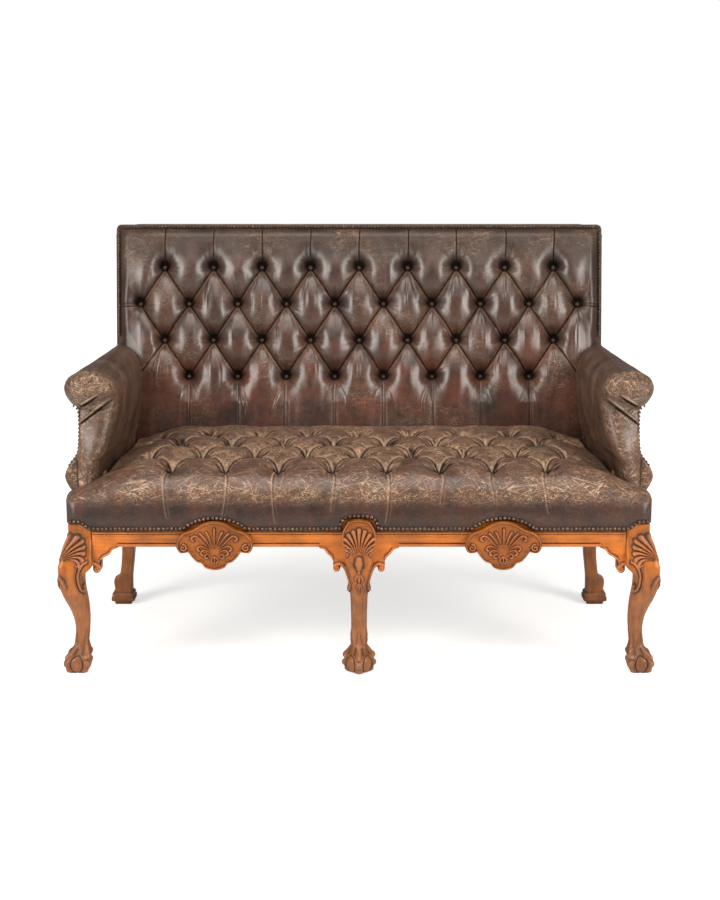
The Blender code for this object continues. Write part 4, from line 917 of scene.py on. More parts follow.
class SETTEE_OT_seat(bpy.types.Operator):
    """Buttoned seat with a rolled front edge, its leather drawn down to the nails on the rail."""

    bl_idname = "settee.seat"
    bl_label = "Tufted seat"
    edge = FRONT_HALF + 0.005
    front = RAIL_FACE_Y - 0.003
    roll = 0.052
    corner = 0.026
    # how far out the columns beyond the last button lie, and how far down those of the end wall
    spread = (*np.linspace(0, 0.86, 60)[1:], 0.89, 0.915, 0.938, 0.957, 0.973, 0.985, 0.994, 1.0, 1.0, 1.0, 1.0)
    end_drops = (*np.zeros(59), 0.0003, 0.0006, 0.0012, 0.002, 0.0034, 0.0055, 0.009, 0.014, 0.026, 0.045, 1.0)
    # distance from the middle, and fall of the seat's ends there
    ends = ((0.0, 0.0), (0.50, 0.0), (0.55, 0.006), (0.59, 0.017), (0.615, 0.027), (0.642, 0.040), (0.665, 0.050),
            (0.684, 0.058), (0.72, 0.069))

    def limit(self, y):
        """Half width of the seat: full in front of the arms, and between them behind."""
        inside = between_arms(y)
        return inside + (self.edge - inside) * unit((ARM_FRONT_Y - 0.004 - y) / 0.010)

    def pleats(self, spots):
        """Folds between the buttons, down over the front roll and out to the sides."""
        rng = np.random.default_rng(9)
        folds = diagonal_pleats(spots, SEAT_ROW_PITCH)
        for x, v in spots:
            if v == 0:
                side = rng.choice((-1, 1))
                folds.append((x, v, x + rng.uniform(-0.002, 0.002), v - rng.uniform(0.13, 0.19), "stem", 1.0))
                off = side * rng.uniform(0.0070, 0.0095)
                folds.append((x + 0.6 * off, v, x + off, v - rng.uniform(0.07, 0.12), "stem", rng.uniform(0.4, 0.8)))
            if abs(x) > 3.9 * sizes().button_pitch:
                folds.append((x, v, math.copysign(0.66, x), v - 0.008, "line", 1.0))
        return folds

    def crowned(self, x, v):
        """How far the ends of the seat fall away beside the arms, less so along the front edge."""
        drop = table(self.ends, np.abs(x).ravel())[:, 1].reshape(x.shape)
        return drop * (1 - 0.42 * ease(-v / 0.080))

    def under(self, rim):
        """Foot of the skirt: on the rails behind the arms' fronts, and just inside the hem in front of them."""
        behind = rim[:, 1] > ARM_FRONT_Y - 0.02
        low = np.where(behind, RAIL_TOP + 0.0022, rim[:, 2] - 0.001)
        return np.column_stack([rim[:, :2] * 0.992, low])

    def rounded(self, x, y):
        """Rounds the two front corners in plan."""
        size = self.corner
        dx = unit((np.abs(x) - (self.edge - size)) / size)
        dy = np.clip((self.front + size - y) / size, 0, 1.3)
        both = (dx > 0) & (dy > 0) & (y < ARM_FRONT_Y)
        nx, ny = (a * np.sqrt(unit(1 - b * b / 2)) for a, b in ((dx, dy), (dy, dx)))
        return (np.where(both, np.sign(x) * (self.edge - size + nx * size), x),
                np.where(both, self.front + size - ny * size, y))

    def execute(self, context):
        straight = 4 * sizes().button_pitch
        fine = sizes().button_pitch / 66
        count = int(round(straight / fine))
        inner = np.arange(-count, count + 1) * fine
        # rows: the hem, the front wall, the roll and the top
        wall = np.concatenate([[1.0], np.linspace(0.060, 0.031, 18)])
        turn = np.linspace(0, math.pi / 2, 32)[1:]
        step = SEAT_ROW_PITCH / 34
        first = math.ceil((self.front + self.roll + 0.004 - SEAT_FIRST_Y) / step)
        top = np.arange(first, math.floor((SEAT_REAR_Y - SEAT_FIRST_Y) / step) + 1) * step + SEAT_FIRST_Y
        level = np.zeros(len(top))
        y_rows = np.concatenate([np.full(len(wall), self.front), self.front + self.roll * (1 - np.cos(turn)) ** 1.25,
                                 top])
        drop_rows = np.concatenate([wall, 0.030 * (1 - np.sin(turn)), level])
        lean = np.concatenate([np.ones(len(wall)), np.cos(turn), level])[:, None]
        arc = np.concatenate([np.linspace(0.100, 0.042, len(wall)), 0.040 * (1 - turn / turn[-1]), level])
        right = straight + (self.limit(y_rows) - straight)[:, None] * np.array(self.spread)[None, :]
        x = np.hstack([-right[:, ::-1], np.repeat(inner[None, :], len(y_rows), 0), right])
        drop_x = np.concatenate([self.end_drops[::-1], np.zeros(len(inner)), self.end_drops])
        y = np.repeat(y_rows[:, None], x.shape[1], 1)
        v = y - SEAT_FIRST_Y
        flat_v = v - arc[:, None]
        spots = button_places(SEAT_COUNTS, SEAT_ROW_PITCH)
        look = tufted(x, flat_v, spots, self.pleats(spots), crater=0.0185, deep=0.0085, seed=23,
                      drag=(0.022, 0.036), bowed=0.009, burst=1.1)
        dome = domes(x, flat_v, SEAT_COUNTS, SEAT_ROW_PITCH)
        share = (0.10 + 0.90 * dome) * (1 - 0.9 * look.sunk)
        height = RAIL_TOP + seat_level(v) + np.where(v < 0, 0.12 * v, 0) + sizes().seat_puff * share
        height -= beside_arms(x, y) + self.crowned(x, v) * (1 - behind_fronts(y))
        height += slow_noise(x, v, 0.17, 31) * 0.0015 - 0.016 * ease((-v - 0.02) / 0.07)
        deepest = np.maximum(drop_rows[:, None], drop_x[None, :])
        hem = np.where(np.abs(x) > FRONT_HALF - 0.006, 0.3735, wood_contour(x))
        hem = np.where(y < ARM_FRONT_Y - 0.02, hem, RAIL_TOP + 0.0025)
        z = np.where(deepest >= 1.0, hem, height - deepest * (height - hem - 0.004) / 0.062)
        # the front wall bulges a little between the hem and the roll
        low, climb = (unit((z - foot) / 0.065) for foot in (hem, SHOW_WOOD_TOP))
        shift = look.pucker - look.crease * (1 - look.sunk) * np.where(lean > 0.5, 0.45, 1.0)
        shift = shift * (deepest < 0.5) * ease(low * 5)
        z = z + shift * (1 - lean)
        y = y - lean * (shift + 0.0045 * np.sin(math.pi * climb) * ease(low * 2.5) - 0.0010 * (1 - ease(low * 8)))
        x, y = self.rounded(x, y)
        # dusty on top; painted shade low on the front wall, below the roll, where the hide is also less rubbed
        edge = np.exp(-((flat_v + 0.062) / 0.048) ** 2)
        shaded_wall = ease((0.088 - (z - SHOW_WOOD_TOP)) / 0.034) * (lean > 0.1)
        rubbed = (0.64 - 0.20 * edge + 0.30 * slow_noise(x, v, 0.20, 33)) * (1 - 0.95 * shaded_wall)
        warm = 0.42 + 0.40 * slow_noise(x * 2.2, v, 0.12, 35)
        pad("tufted_seat", x, y, z, look, self.under, "seat_pad",
            fold=unit(look.fold + 0.22 * shaded_wall), lip=look.lip * (0.30 + 0.70 * ease(low * 2.2)),
            rubbed=unit(rubbed), warm=unit(warm))
        return {"FINISHED"}


# Arms

# points up the outside, over the roll and down the inside: out from the frame's side and up from the rail
ARM_FRONT_SECTION = (
    (0.005, 0.000), (0.026, 0.028), (0.034, 0.056), (0.020, 0.086), (-0.001, 0.117), (-0.009, 0.174),
    (-0.008, 0.221), (0.006, 0.236), (0.019, 0.257), (0.021, 0.279), (0.009, 0.301), (-0.016, 0.313),
    (-0.046, 0.313), (-0.073, 0.297), (-0.089, 0.271), (-0.093, 0.244), (-0.085, 0.189), (-0.079, 0.149),
    (-0.063, 0.109), (-0.048, 0.080), (-0.043, 0.000))
ARM_REAR_SECTION = (
    (0.002, 0.000), (0.010, 0.028), (0.010, 0.056), (0.005, 0.086), (0.000, 0.117), (-0.002, 0.174),
    (-0.002, 0.221), (-0.001, 0.244), (0.000, 0.269), (0.000, 0.289), (0.000, 0.311), (-0.004, 0.324),
    (-0.015, 0.327), (-0.036, 0.317), (-0.053, 0.294), (-0.062, 0.263), (-0.067, 0.199), (-0.066, 0.149),
    (-0.062, 0.109), (-0.058, 0.080), (-0.055, 0.000))


def arm_outline(share):
    """The arm's section part way back, as even points up the outside, over the roll and down the inside."""
    mixed = np.asarray(ARM_FRONT_SECTION) * (1 - share) + np.asarray(ARM_REAR_SECTION) * share
    mixed[:, 0] = -0.036 + (mixed[:, 0] + 0.036) * (1 + 0.13 * ease((mixed[:, 1] - 0.12) / 0.08))
    outer, inner = spline(mixed[:13], 129), spline(mixed[12:], 129)
    return np.vstack([outer, inner[1:]])


class SETTEE_OT_arms(bpy.types.Operator):
    """Padded arms with a rolled top, gathered at the front into folds below the roll."""

    bl_idname = "settee.arms"
    bl_label = "Arms"
    # two strong folds from the outer neck, and the outer ends of the fine gathers over the roll
    welts = (((0.684, 0.643, 0.0022), (0.668, 0.651, 0.0030), (0.650, 0.662, 0.0030), (0.631, 0.674, 0.0014)),
             ((0.682, 0.601, 0.0022), (0.660, 0.619, 0.0032), (0.635, 0.638, 0.0034), (0.614, 0.654, 0.0026),
              (0.600, 0.664, 0.0014)))
    tips = ((0.709, 0.688), (0.702, 0.711), (0.688, 0.722), (0.670, 0.728), (0.650, 0.728), (0.632, 0.722))

    def rings(self):
        """Sections from the rounded front to the back, as (out, up) points and their depths."""
        first = arm_outline(0.0)
        tangent = np.gradient(first, axis=0)
        inward = np.column_stack([-tangent[:, 1], tangent[:, 0]])
        inward /= np.linalg.norm(inward, axis=1)[:, None]
        # the front edge is tight along the nails, full on the roll and very full towards the seat
        up = first[:, 1]
        rolled = ease((up - 0.205) / 0.06)
        blend = ease((np.arange(len(first)) - 100) / 56)
        soft = (0.009 + 0.013 * rolled) * (1 - blend) + (0.034 - 0.012 * rolled) * blend
        foot = ease(up / 0.02)
        rings = []
        for turn in np.linspace(0.0, math.pi / 2, 13)[:-1]:
            inset = soft * (1 - math.sin(turn)) * foot
            rings.append((first + inward * inset[:, None], ARM_FRONT_Y + soft * (1 - math.cos(turn))))
        for back in np.linspace(0, 1, 46):
            section = arm_outline(0.02 + 0.98 * back)
            far = STILE_FACE_Y + section[:, 1] * math.tan(BACK_RAKE) - BACK_DECK - 0.0006
            rings.append((section, ARM_FRONT_Y + soft + (far - ARM_FRONT_Y - soft) * back))
        return rings

    def body(self, sign):
        """Points and faces of the arm: the loft, its underside and rear end, and the rungs across its front."""
        points = []
        for section, depth in self.rings():
            x = side_x(depth) + section[:, 0]
            points.append(np.column_stack([sign * x, depth, RAIL_TOP + 0.0006 + section[:, 1]]))
        grid = np.array(points)
        rows, columns = grid.shape[:2]
        faces = sheet_faces(rows, columns).tolist()
        index = np.arange(rows * columns).reshape(rows, columns)
        faces += [[low[-1], high[-1], high[0], low[0]] for low, high in zip(index, index[1:])]
        faces.append(index[-1].tolist())
        nose, across, extra, rungs = grid[0], 84, [], []
        count = columns // 2
        for i in range(count):
            row = [i]
            for t in np.arange(1, across) / across:
                row.append(rows * columns + len(extra))
                extra.append(nose[i] * (1 - t) + nose[columns - 1 - i] * t)
            rungs.append([*row, columns - 1 - i])
        for low, high in zip(rungs, rungs[1:]):
            faces += [[low[k], low[k + 1], high[k + 1], high[k]] for k in range(across)]
        faces.append([*rungs[-1], *range(columns - count - 1, count - 1, -1)])
        faces.append(rungs[0][::-1])
        return np.vstack([grid.reshape(-1, 3), np.array(extra)]), faces

    def folds(self, u, w):
        """Height of the strong folds, of the hollow under each and of the fine gathers, over the front."""
        pulls = []
        for tip_u, tip_w in self.tips:
            root_u, root_w = 0.5 * 0.690 + 0.5 * tip_u, 0.5 * 0.664 + 0.5 * tip_w
            middle = ((root_u + tip_u) / 2 + 0.002, (root_w + tip_w) / 2, 0.0050)
            pulls.append([(root_u, root_w, 0.0030), middle, (tip_u, tip_w, 0.0046)])
        hollows = [[(a, b - 0.0055, r * 1.2) for a, b, r in line] for line in self.welts]
        return (relief(u, w, [(line, 1.0) for line in lines]) for lines in (self.welts, hollows, pulls))

    def arm(self, side, sign):
        points, faces = self.body(sign)
        u, w = sign * points[:, 0], points[:, 2].copy()
        front = 1 - ease((points[:, 1] - ARM_FRONT_Y - 0.010) / 0.045)
        # the roll stands forward over the panel, and the panel is full in the middle
        away = np.hypot((u - 0.650) / 1.12, w - 0.690)
        forward = 0.024 * np.sqrt(unit(1 - (away / 0.058) ** 2))
        neck = w - (0.630 + (0.682 - u) * 0.42)
        panel = unit(1 - ((u - 0.620) / np.where(u > 0.620, 0.072, 0.085)) ** 2)
        panel = panel * (1 - ease((w - 0.470) / 0.190))
        points[:, 1] -= front * (forward + 0.040 * panel - 0.007 * np.exp(-(neck / 0.014) ** 2))
        # the lower outside bulges behind the panel's nailed edge
        low = ease((0.520 - w) / 0.016)
        flare, seam = ease((u - 0.688) / 0.008) * low, np.exp(-((u - 0.690) / 0.004) ** 2) * low
        points[:, 1] += front * (0.015 * flare + 0.003 * seam)
        raised, below, fine = self.folds(u, w)
        raised, below, fine = raised * front, below * front, fine ** 3 * front
        points[:, 1] += front * (below * 0.0035 * (1 - raised) - raised * 0.0036 + fine * 0.0022)
        points[:, 2] -= fine * 0.0010
        top = (1 - ease((points[:, 1] - ARM_FRONT_Y - 0.01) / 0.10)) * ease((w - 0.700) / 0.02)
        ripple = np.sin((u - 0.66) * 330 + slow_noise(u, points[:, 1], 0.05, 3) * 1.2)
        points[:, 2] += 0.0009 * ripple * top
        points[:, 0] += sign * slow_noise(points[:, 1], w, 0.12, 14) * 0.0012 * (1 - front)
        # rubbed on the roll and the front, most of all near the seat; the front's extra tan is partly a painted
        # highlight
        worn = ease((w - 0.665) / 0.03)
        rubbed = 0.19 + 0.34 * worn * front + 0.30 * front + 0.25 * ease((0.520 - w) / 0.05) * front
        rubbed = rubbed + 0.18 * slow_noise(points[:, 1] * 2, w, 0.15, 9)
        warm = 0.30 - 0.2 * worn + 0.3 * slow_noise(points[:, 1] + u, w, 0.13, 10)
        # painted shade in the hollow under each welt and along the fine gathers, and a dark seam down the outer edge
        fold = 0.80 * below * (1 - raised) + 0.30 * fine + 0.6 * seam * front
        marks = {"fold": fold, "lip": 0.55 * raised, "rubbed": rubbed, "warm": warm}
        marks = {name: unit(values) for name, values in marks.items()}
        obj = tidy_normals(mesh_object(f"padded_arm_{side}", points, faces, marks))
        finish_piece(obj, leather_material(), [f"arm_pad_{side}", f"outside_arm_{side}"], 60)

    def execute(self, context):
        for side, sign in SIDES:
            self.arm(side, sign)
        return {"FINISHED"}


class SETTEE_OT_back_leather(bpy.types.Operator):
    """Leather drawn over the outside of the back and its edges, and the gimp round the tufted side."""

    bl_idname = "settee.back_leather"
    bl_label = "Back leather and gimp"
    # share of the gimp's width, and its rise there
    gimp_section = ((0.0, 0.0), (0.06, 0.0020), (0.2, 0.0030), (0.5, 0.0034), (0.8, 0.0030), (0.94, 0.0020), (1.0, 0.0))
    gimp_cuts = (60, 180, 60)

    def cover(self):
        """A block in the plane of the back that takes in its frame, slightly slack over the rear."""
        deselect()
        thick = 0.040 * math.cos(BACK_RAKE) + 0.0036
        foot = 0.020
        size = (2 * BACK_HALF + 0.006, thick + BACK_DECK, BACK_LENGTH + 0.003 - foot)
        bpy.ops.mesh.primitive_cube_add(size=1.0, location=(0, 0, 0))
        cover = new_primitive("outside_back_leather")
        cover.scale = size
        bpy.ops.object.transform_apply(location=False, rotation=False, scale=True)
        edit_all(cover, (bpy.ops.mesh.subdivide, {"number_cuts": 20}))
        apply_modifier(cover, "BEVEL", width=0.006, segments=4, limit_method="ANGLE")
        across, depth, up = np.array([vertex.co for vertex in cover.data.vertices]).T
        up = up + size[2] / 2 + foot
        sag = 0.0025 * np.cos(across / BACK_HALF * math.pi / 2) * np.sin(unit(up / BACK_LENGTH) * math.pi)
        out = -depth + size[1] / 2 - thick + np.where(depth > size[1] / 2 - 0.004, sag, 0)
        cover.data.vertices.foreach_set("co", back_point(*clipped(across, up), out).ravel())
        mark_points(cover.data, {"rubbed": np.full(len(across), 0.25)})
        finish_piece(tidy_normals(cover), leather_material(), ["outside_back"], 35)

    def gimp(self):
        """A narrow band laid round the top and both sides, with a rolled edge."""
        half, top, low = BACK_HALF - 0.0002, BACK_LENGTH - 0.0002, 0.345
        outer, inner = (np.array([(-side, low), (-side, high), (side, high), (side, low)])
                        for side, high in ((half, top), (half - GIMP_WIDTH, top - GIMP_WIDTH)))
        rings = []
        for i, cuts in enumerate(self.gimp_cuts):
            last = i == len(self.gimp_cuts) - 1
            for t in np.arange(cuts + last) / cuts:
                far, near = (path[i] * (1 - t) + path[i + 1] * t for path in (outer, inner))
                row = [(far * (1 - share) + near * share, rise) for share, rise in self.gimp_section]
                row += [(near, -0.001), (far, -0.001)]
                rings.append([back_point(*clipped(*place), BORDER_OUT + rise) for place, rise in row])
        rings = np.array(rings)
        count, around = rings.shape[:2]
        marks = {"fold": np.full(count * around, 0.30), "rubbed": np.full(count * around, 0.1)}
        obj = tidy_normals(mesh_object("back_border_gimp", rings, tube_faces(count, around), marks), 0.00001)
        finish_piece(obj, leather_material(), ["back_gimp"], 50)

    def execute(self, context):
        self.cover()
        self.gimp()
        return {"FINISHED"}


class SETTEE_OT_buttons(bpy.types.Operator):
    """Leather-covered buttons, drawn down into the tufts."""

    bl_idname = "settee.buttons"
    bl_label = "Covered buttons"

    def back_places(self):
        for x, v in button_places(BACK_COUNTS, BACK_ROW_PITCH):
            deep = back_height(sizes().back_puff * 0.012, v, BACK_HALF - abs(x), v + BACK_FIRST_ROW)
            yield back_point(x, BACK_LENGTH - BACK_FIRST_ROW - v, deep + 0.0035), axes_out(BACK_OUT)

    def seat_places(self):
        for x, v in button_places(SEAT_COUNTS, SEAT_ROW_PITCH):
            y = SEAT_FIRST_Y + v
            z = RAIL_TOP + seat_level(v) + sizes().seat_puff * 0.01 + 0.0015 - beside_arms(x, y)
            yield (x, y, z), np.eye(3)

    def execute(self, context):
        form = cap(segments=14, rings=8, diameter=sizes().button_size, below=0.0035714)
        for name, places in (("back_buttons", self.back_places()), ("seat_buttons", self.seat_places())):
            # the buttons are darkened like the folds: painted shade at the bottom of their pockets
            scatter(name, form, places, leather_material(), "worn_leather", fold=0.42, rubbed=0.15)
        return {"FINISHED"}


class SETTEE_OT_nails(bpy.types.Operator):
    """Domed nails: along the rail, up the front of each arm and close together in the back's border."""

    bl_idname = "settee.nails"
    bl_label = "Nails"
    arm_nail_size = 0.0072
    arm_nail_pitch = 0.0088

    def row(self, name, diameter, places):
        material = shared("bronzed steel, rubbed", antique_bronze)
        scatter(name, cap(segments=8, rings=6, diameter=diameter, below=0.00026667), places, material, "antique_nail")

    def even(self, line, pitch, skip=1):
        """Places at an even pitch along a line."""
        return spline(line[::skip], int(np.linalg.norm(np.diff(line, axis=0), axis=1).sum() / pitch))

    def border_places(self):
        half, top, low = BACK_HALF - 0.0062, BACK_LENGTH - 0.0062, 0.350
        path = np.array([(-half, low), (-half, top), (half, top), (half, low)])
        for a, b in zip(path, path[1:]):
            count = int(np.linalg.norm(b - a) / sizes().border_nail_pitch)
            for t in np.arange(count) / count:
                yield back_point(*clipped(*(a * (1 - t) + b * t)), BACK_DECK + 0.0164), axes_out(BACK_OUT)

    def execute(self, context):
        edge = np.linspace(-FRONT_HALF + 0.006, FRONT_HALF - 0.006, 2400)
        line = np.column_stack([edge, wood_contour(edge) + 0.0055])
        places = [((x, RAIL_FACE_Y - 0.0045, z), axes_out((0, -1, 0)))
                  for x, z in self.even(line, sizes().nail_pitch, 4)]
        self.row("rail_nails", sizes().nail_size, places)
        outline = arm_outline(0.0)[12:92]
        outline = outline[(outline[:, 1] > 0.085) & (outline[:, 1] < 0.232)]
        for side, sign in SIDES:
            places = [((sign * (side_x(ARM_FRONT_Y) + out - 0.0025), ARM_FRONT_Y + 0.0035, RAIL_TOP + up),
                       axes_out((sign * 0.8, -0.6, 0))) for out, up in self.even(outline, self.arm_nail_pitch)]
            self.row(f"arm_nails_{side}", self.arm_nail_size, places)
        self.row("border_nails", sizes().border_nail_size, self.border_places())
        return {"FINISHED"}


# Legs

# share of the foot's height, reach of the ball and of a talon, which swells at its knuckles
BALL = ((0.0, 0.44, 0.62), (0.04, 0.56, 0.80), (0.12, 0.70, 0.93), (0.22, 0.79, 0.93), (0.32, 0.84, 1.08),
        (0.43, 0.84, 1.10), (0.52, 0.82, 0.93), (0.62, 0.76, 1.05), (0.72, 0.68, 1.00), (0.80, 0.60, 0.82),
        (0.90, 0.52, 0.66), (1.0, 0.46, 0.52))
FOOT_HALF = 0.0385
FOOT_HEIGHT = 0.066
ANKLE = 0.0175
SHANK_LOW = FOOT_HEIGHT * 1.18
KNEE_SWING = 0.023


def squarish(angle, half_x, half_y, square):
    """Section of a leg: square 2 is an ellipse, larger values are squarer."""
    c, s = np.cos(angle), np.sin(angle)
    reach = (np.abs(c) ** square + np.abs(s) ** square) ** (-1 / square)
    return half_x * c * reach, half_y * s * reach


def foot_reach(share, angle, facing):
    """Reach of a claw-and-ball foot: the ball shows in oval openings between four knuckled talons and their web."""
    rows = table(BALL, share)
    ball, talon = rows[:, 1][:, None], rows[:, 2][:, None]
    off = np.abs((np.degrees(angle) - facing + 45) % 90 - 45)
    off = np.broadcast_to(off, (len(share), angle.shape[-1]))
    share = share[:, None]
    oval = np.hypot((45 - off) / 29, (share - 0.34) / 0.36)
    cover = ease((oval - 0.93) / 0.14)
    groove = np.exp(-((oval - 0.96) / 0.07) ** 2) * (1 - ease((share - 0.9) / 0.1))
    grip = np.exp(-(off / 13.0) ** 2.2)
    between = np.exp(-((off - 24) / 6.0) ** 2) * ease((share - 0.66) / 0.1) * (1 - ease((share - 0.88) / 0.12))
    reach = ball + cover * (0.05 + (talon - ball - 0.05) * sizes().talon * grip) - 0.05 * groove - 0.05 * between
    joints = sum(np.exp(-((share - at) / 0.028) ** 2) for at in (0.23, 0.53)) * grip * cover
    # old wax and painted shade in the grooves round the ball, between the talons and at their joints
    wax = np.maximum(groove, np.maximum(0.7 * between, 0.6 * joints)) + 0.24 * cover * (1 - grip)
    # the tops of the talons are paler: rubbed, and a painted highlight
    return FOOT_HALF * reach, wax, grip * cover * (1 - joints)


def leg_mesh(name, centre, stations, facing, strokes, rise, foot_centre):
    """A carved leg from its foot up: sections lofted along a swung centre line, and carved by strokes at the knee."""
    angle = np.linspace(0, math.tau, 200, endpoint=False)
    share = np.linspace(0, 1, 56)
    reach, groove, grip = foot_reach(share, angle, facing)
    low, high = stations[0][0], stations[-1][0]
    ankle = centre(np.array([stations[0][1]]))
    back = ease((share - 0.50) / 0.50)[:, None]
    foot = [start + (end - start) * back + reach * way
            for start, end, way in zip(foot_centre, ankle, (np.cos(angle), np.sin(angle)))]
    foot = np.stack([*foot, np.broadcast_to((share * FOOT_HEIGHT)[:, None], reach.shape)], -1)
    shank_top, carving = 0.195, min(high, 0.36)
    heights = np.concatenate([np.linspace(low, shank_top, 54, endpoint=False),
                              np.linspace(shank_top, carving, 170, endpoint=False), np.linspace(carving, high, 12)])
    rows = table(stations, heights)
    dx, dy = centre(rows[:, 1])
    bx, by = squarish(angle[None, :], rows[:, 2:3], rows[:, 3:4], rows[:, 4:5])
    turn = (np.degrees(angle) - facing + 180) % 360 - 180
    radius = np.hypot(bx, by)
    p = np.radians(turn)[None, :] * np.minimum(radius, 0.048)
    q = np.broadcast_to(heights[:, None], p.shape)
    rises = ((-0.002, 0.0046), (0.012, 0.0030), (0.026, 0.0010))
    tendons = [([(side * 1.571 * ANKLE, low + up, half) for up, half in rises], 0.6) for side in (-1, 0, 1)]
    carved, swell, beside = (relief(p, q, broadened([*strokes, *tendons], wider)) for wider in (1.0, 1.8, 3.2))
    out = carved * rise
    shank = np.stack([dx[:, None] + bx + bx / radius * out, dy[:, None] + by + by / radius * out, q], -1)
    points = np.concatenate([foot, shank])
    # old wax and painted shade in and round the carving; its tops paler, rubbed and a painted highlight
    recess = np.concatenate([groove + 0.14, swell * 1.1 - carved * 1.4 + 0.46 * beside])
    ridge = np.concatenate([grip * 0.50, unit(carved * 1.5 - 0.75)])
    marks = {"recess": unit(recess), "ridge": ridge}
    return tidy_normals(mesh_object(name, points, tube_faces(len(points), len(angle)), marks), FINE_MERGE)


def knee_shell(hinge, up, side, lobes, spread, start=0.16):
    """Scallop on a knee: lobes fan out from a hinge side by side, each a ridge that widens to a rounded tip."""
    strokes = []
    for k in range(lobes):
        turn = spread * (2 * k / (lobes - 1) - 1)
        reach = up + (side - up) * (abs(turn) / spread) ** 1.3
        line = []
        for t in np.linspace(start, 1.0, 11):
            open_by = 0.50 + 0.50 * t ** 1.4
            half_width = 0.40 * 2 * spread / (lobes - 1) * open_by * reach * t
            line.append((math.sin(turn * open_by) * reach * t, hinge + math.cos(turn * open_by) * reach * t,
                         half_width))
        strokes.append((line, 1.0))
    return strokes


class SETTEE_OT_corner_legs(bpy.types.Operator):
    """Cabriole corner legs: claw-and-ball foot, carved shell and scroll on the knee, and the post above it."""

    bl_idname = "settee.corner_legs"
    bl_label = "Corner legs"

    def carving(self):
        """Shell on the knee's edge, a scroll down each inner edge and a leaf below, by distance round the leg."""
        strokes = knee_shell(hinge=0.281, up=0.062, side=0.046, lobes=13, spread=1.75)
        band = [(0.0640, 0.2835, 0.0040), (0.0530, 0.2790, 0.0044), (0.0470, 0.2660, 0.0044), (0.0455, 0.2480, 0.0042),
                (0.0465, 0.2300, 0.0040), (0.0505, 0.2140, 0.0038), (0.0570, 0.2080, 0.0036), (0.0625, 0.2130, 0.0034),
                (0.0615, 0.2240, 0.0030)]
        thin = [(0.0560, 0.2880, 0.0014), (0.0455, 0.2830, 0.0014), (0.0392, 0.2690, 0.0014), (0.0375, 0.2480, 0.0014),
                (0.0388, 0.2270, 0.0014), (0.0430, 0.2090, 0.0012)]
        leaf = [(0.0015, 0.2450, 0.0042), (0.0065, 0.2370, 0.0048), (0.0112, 0.2240, 0.0038), (0.0135, 0.2110, 0.0014)]
        curl = spiral(0.036, 0.277, turns=1.0, radius=0.0060, width=0.0022, hand=-1)
        return strokes + both_hands([(band, 1.0), (thin, 0.6), (leaf, 0.9), (curl, 0.9)])

    def execute(self, context):
        low, knee = SHANK_LOW, RAIL_BOTTOM * 0.783
        stations = []
        for share, swing, half, square in (
                (0.0, 0.28, ANKLE, 2.2), (0.15, 0.17, ANKLE, 2.2), (0.33, 0.21, ANKLE * 1.15, 2.4),
                (0.49, 0.40, ANKLE * 1.38, 2.6), (0.64, 0.67, ANKLE * 1.61, 3.0), (0.81, 0.93, 0.0302, 3.4),
                (1.0, 1.0, 0.031, 4.0)):
            stations.append((low + (knee - low) * share, swing * KNEE_SWING, half, half, square))
        for share, swing in ((0.35, 0.52), (0.70, 0.33), (1.0, 0.20), (1.35, 0.0)):
            half = 0.029 + swing * KNEE_SWING
            stations.append((knee + (RAIL_BOTTOM - knee) * share, swing * KNEE_SWING, half, half, 9.0))
        stations.append((0.3712, 0.0, 0.0288, 0.0288, 14.0))
        foot = 0.016
        for side, sign in SIDES:
            obj = leg_mesh(f"carved_leg_{side}", lambda s, sign=sign: (sign * (POST_X + s), POST_Y - s), stations,
                           facing=270 + 45 * sign, strokes=self.carving(), rise=0.0052,
                           foot_centre=(sign * (POST_X + foot), POST_Y - foot))
            finish_piece(obj, leg_material(), [f"front_leg_{side}"], 45)
        return {"FINISHED"}


def centre_shell():
    """The broad shell over the middle leg: it starts on the leg and spreads over the plate above."""
    curl = spiral(0.0285, 0.3030, turns=1.2, radius=0.0070, width=0.0026, hand=-1)
    shell = knee_shell(hinge=0.283, up=0.079, side=0.054, lobes=11, spread=0.92, start=0.36)
    return shell + both_hands([(curl, 1.0)])


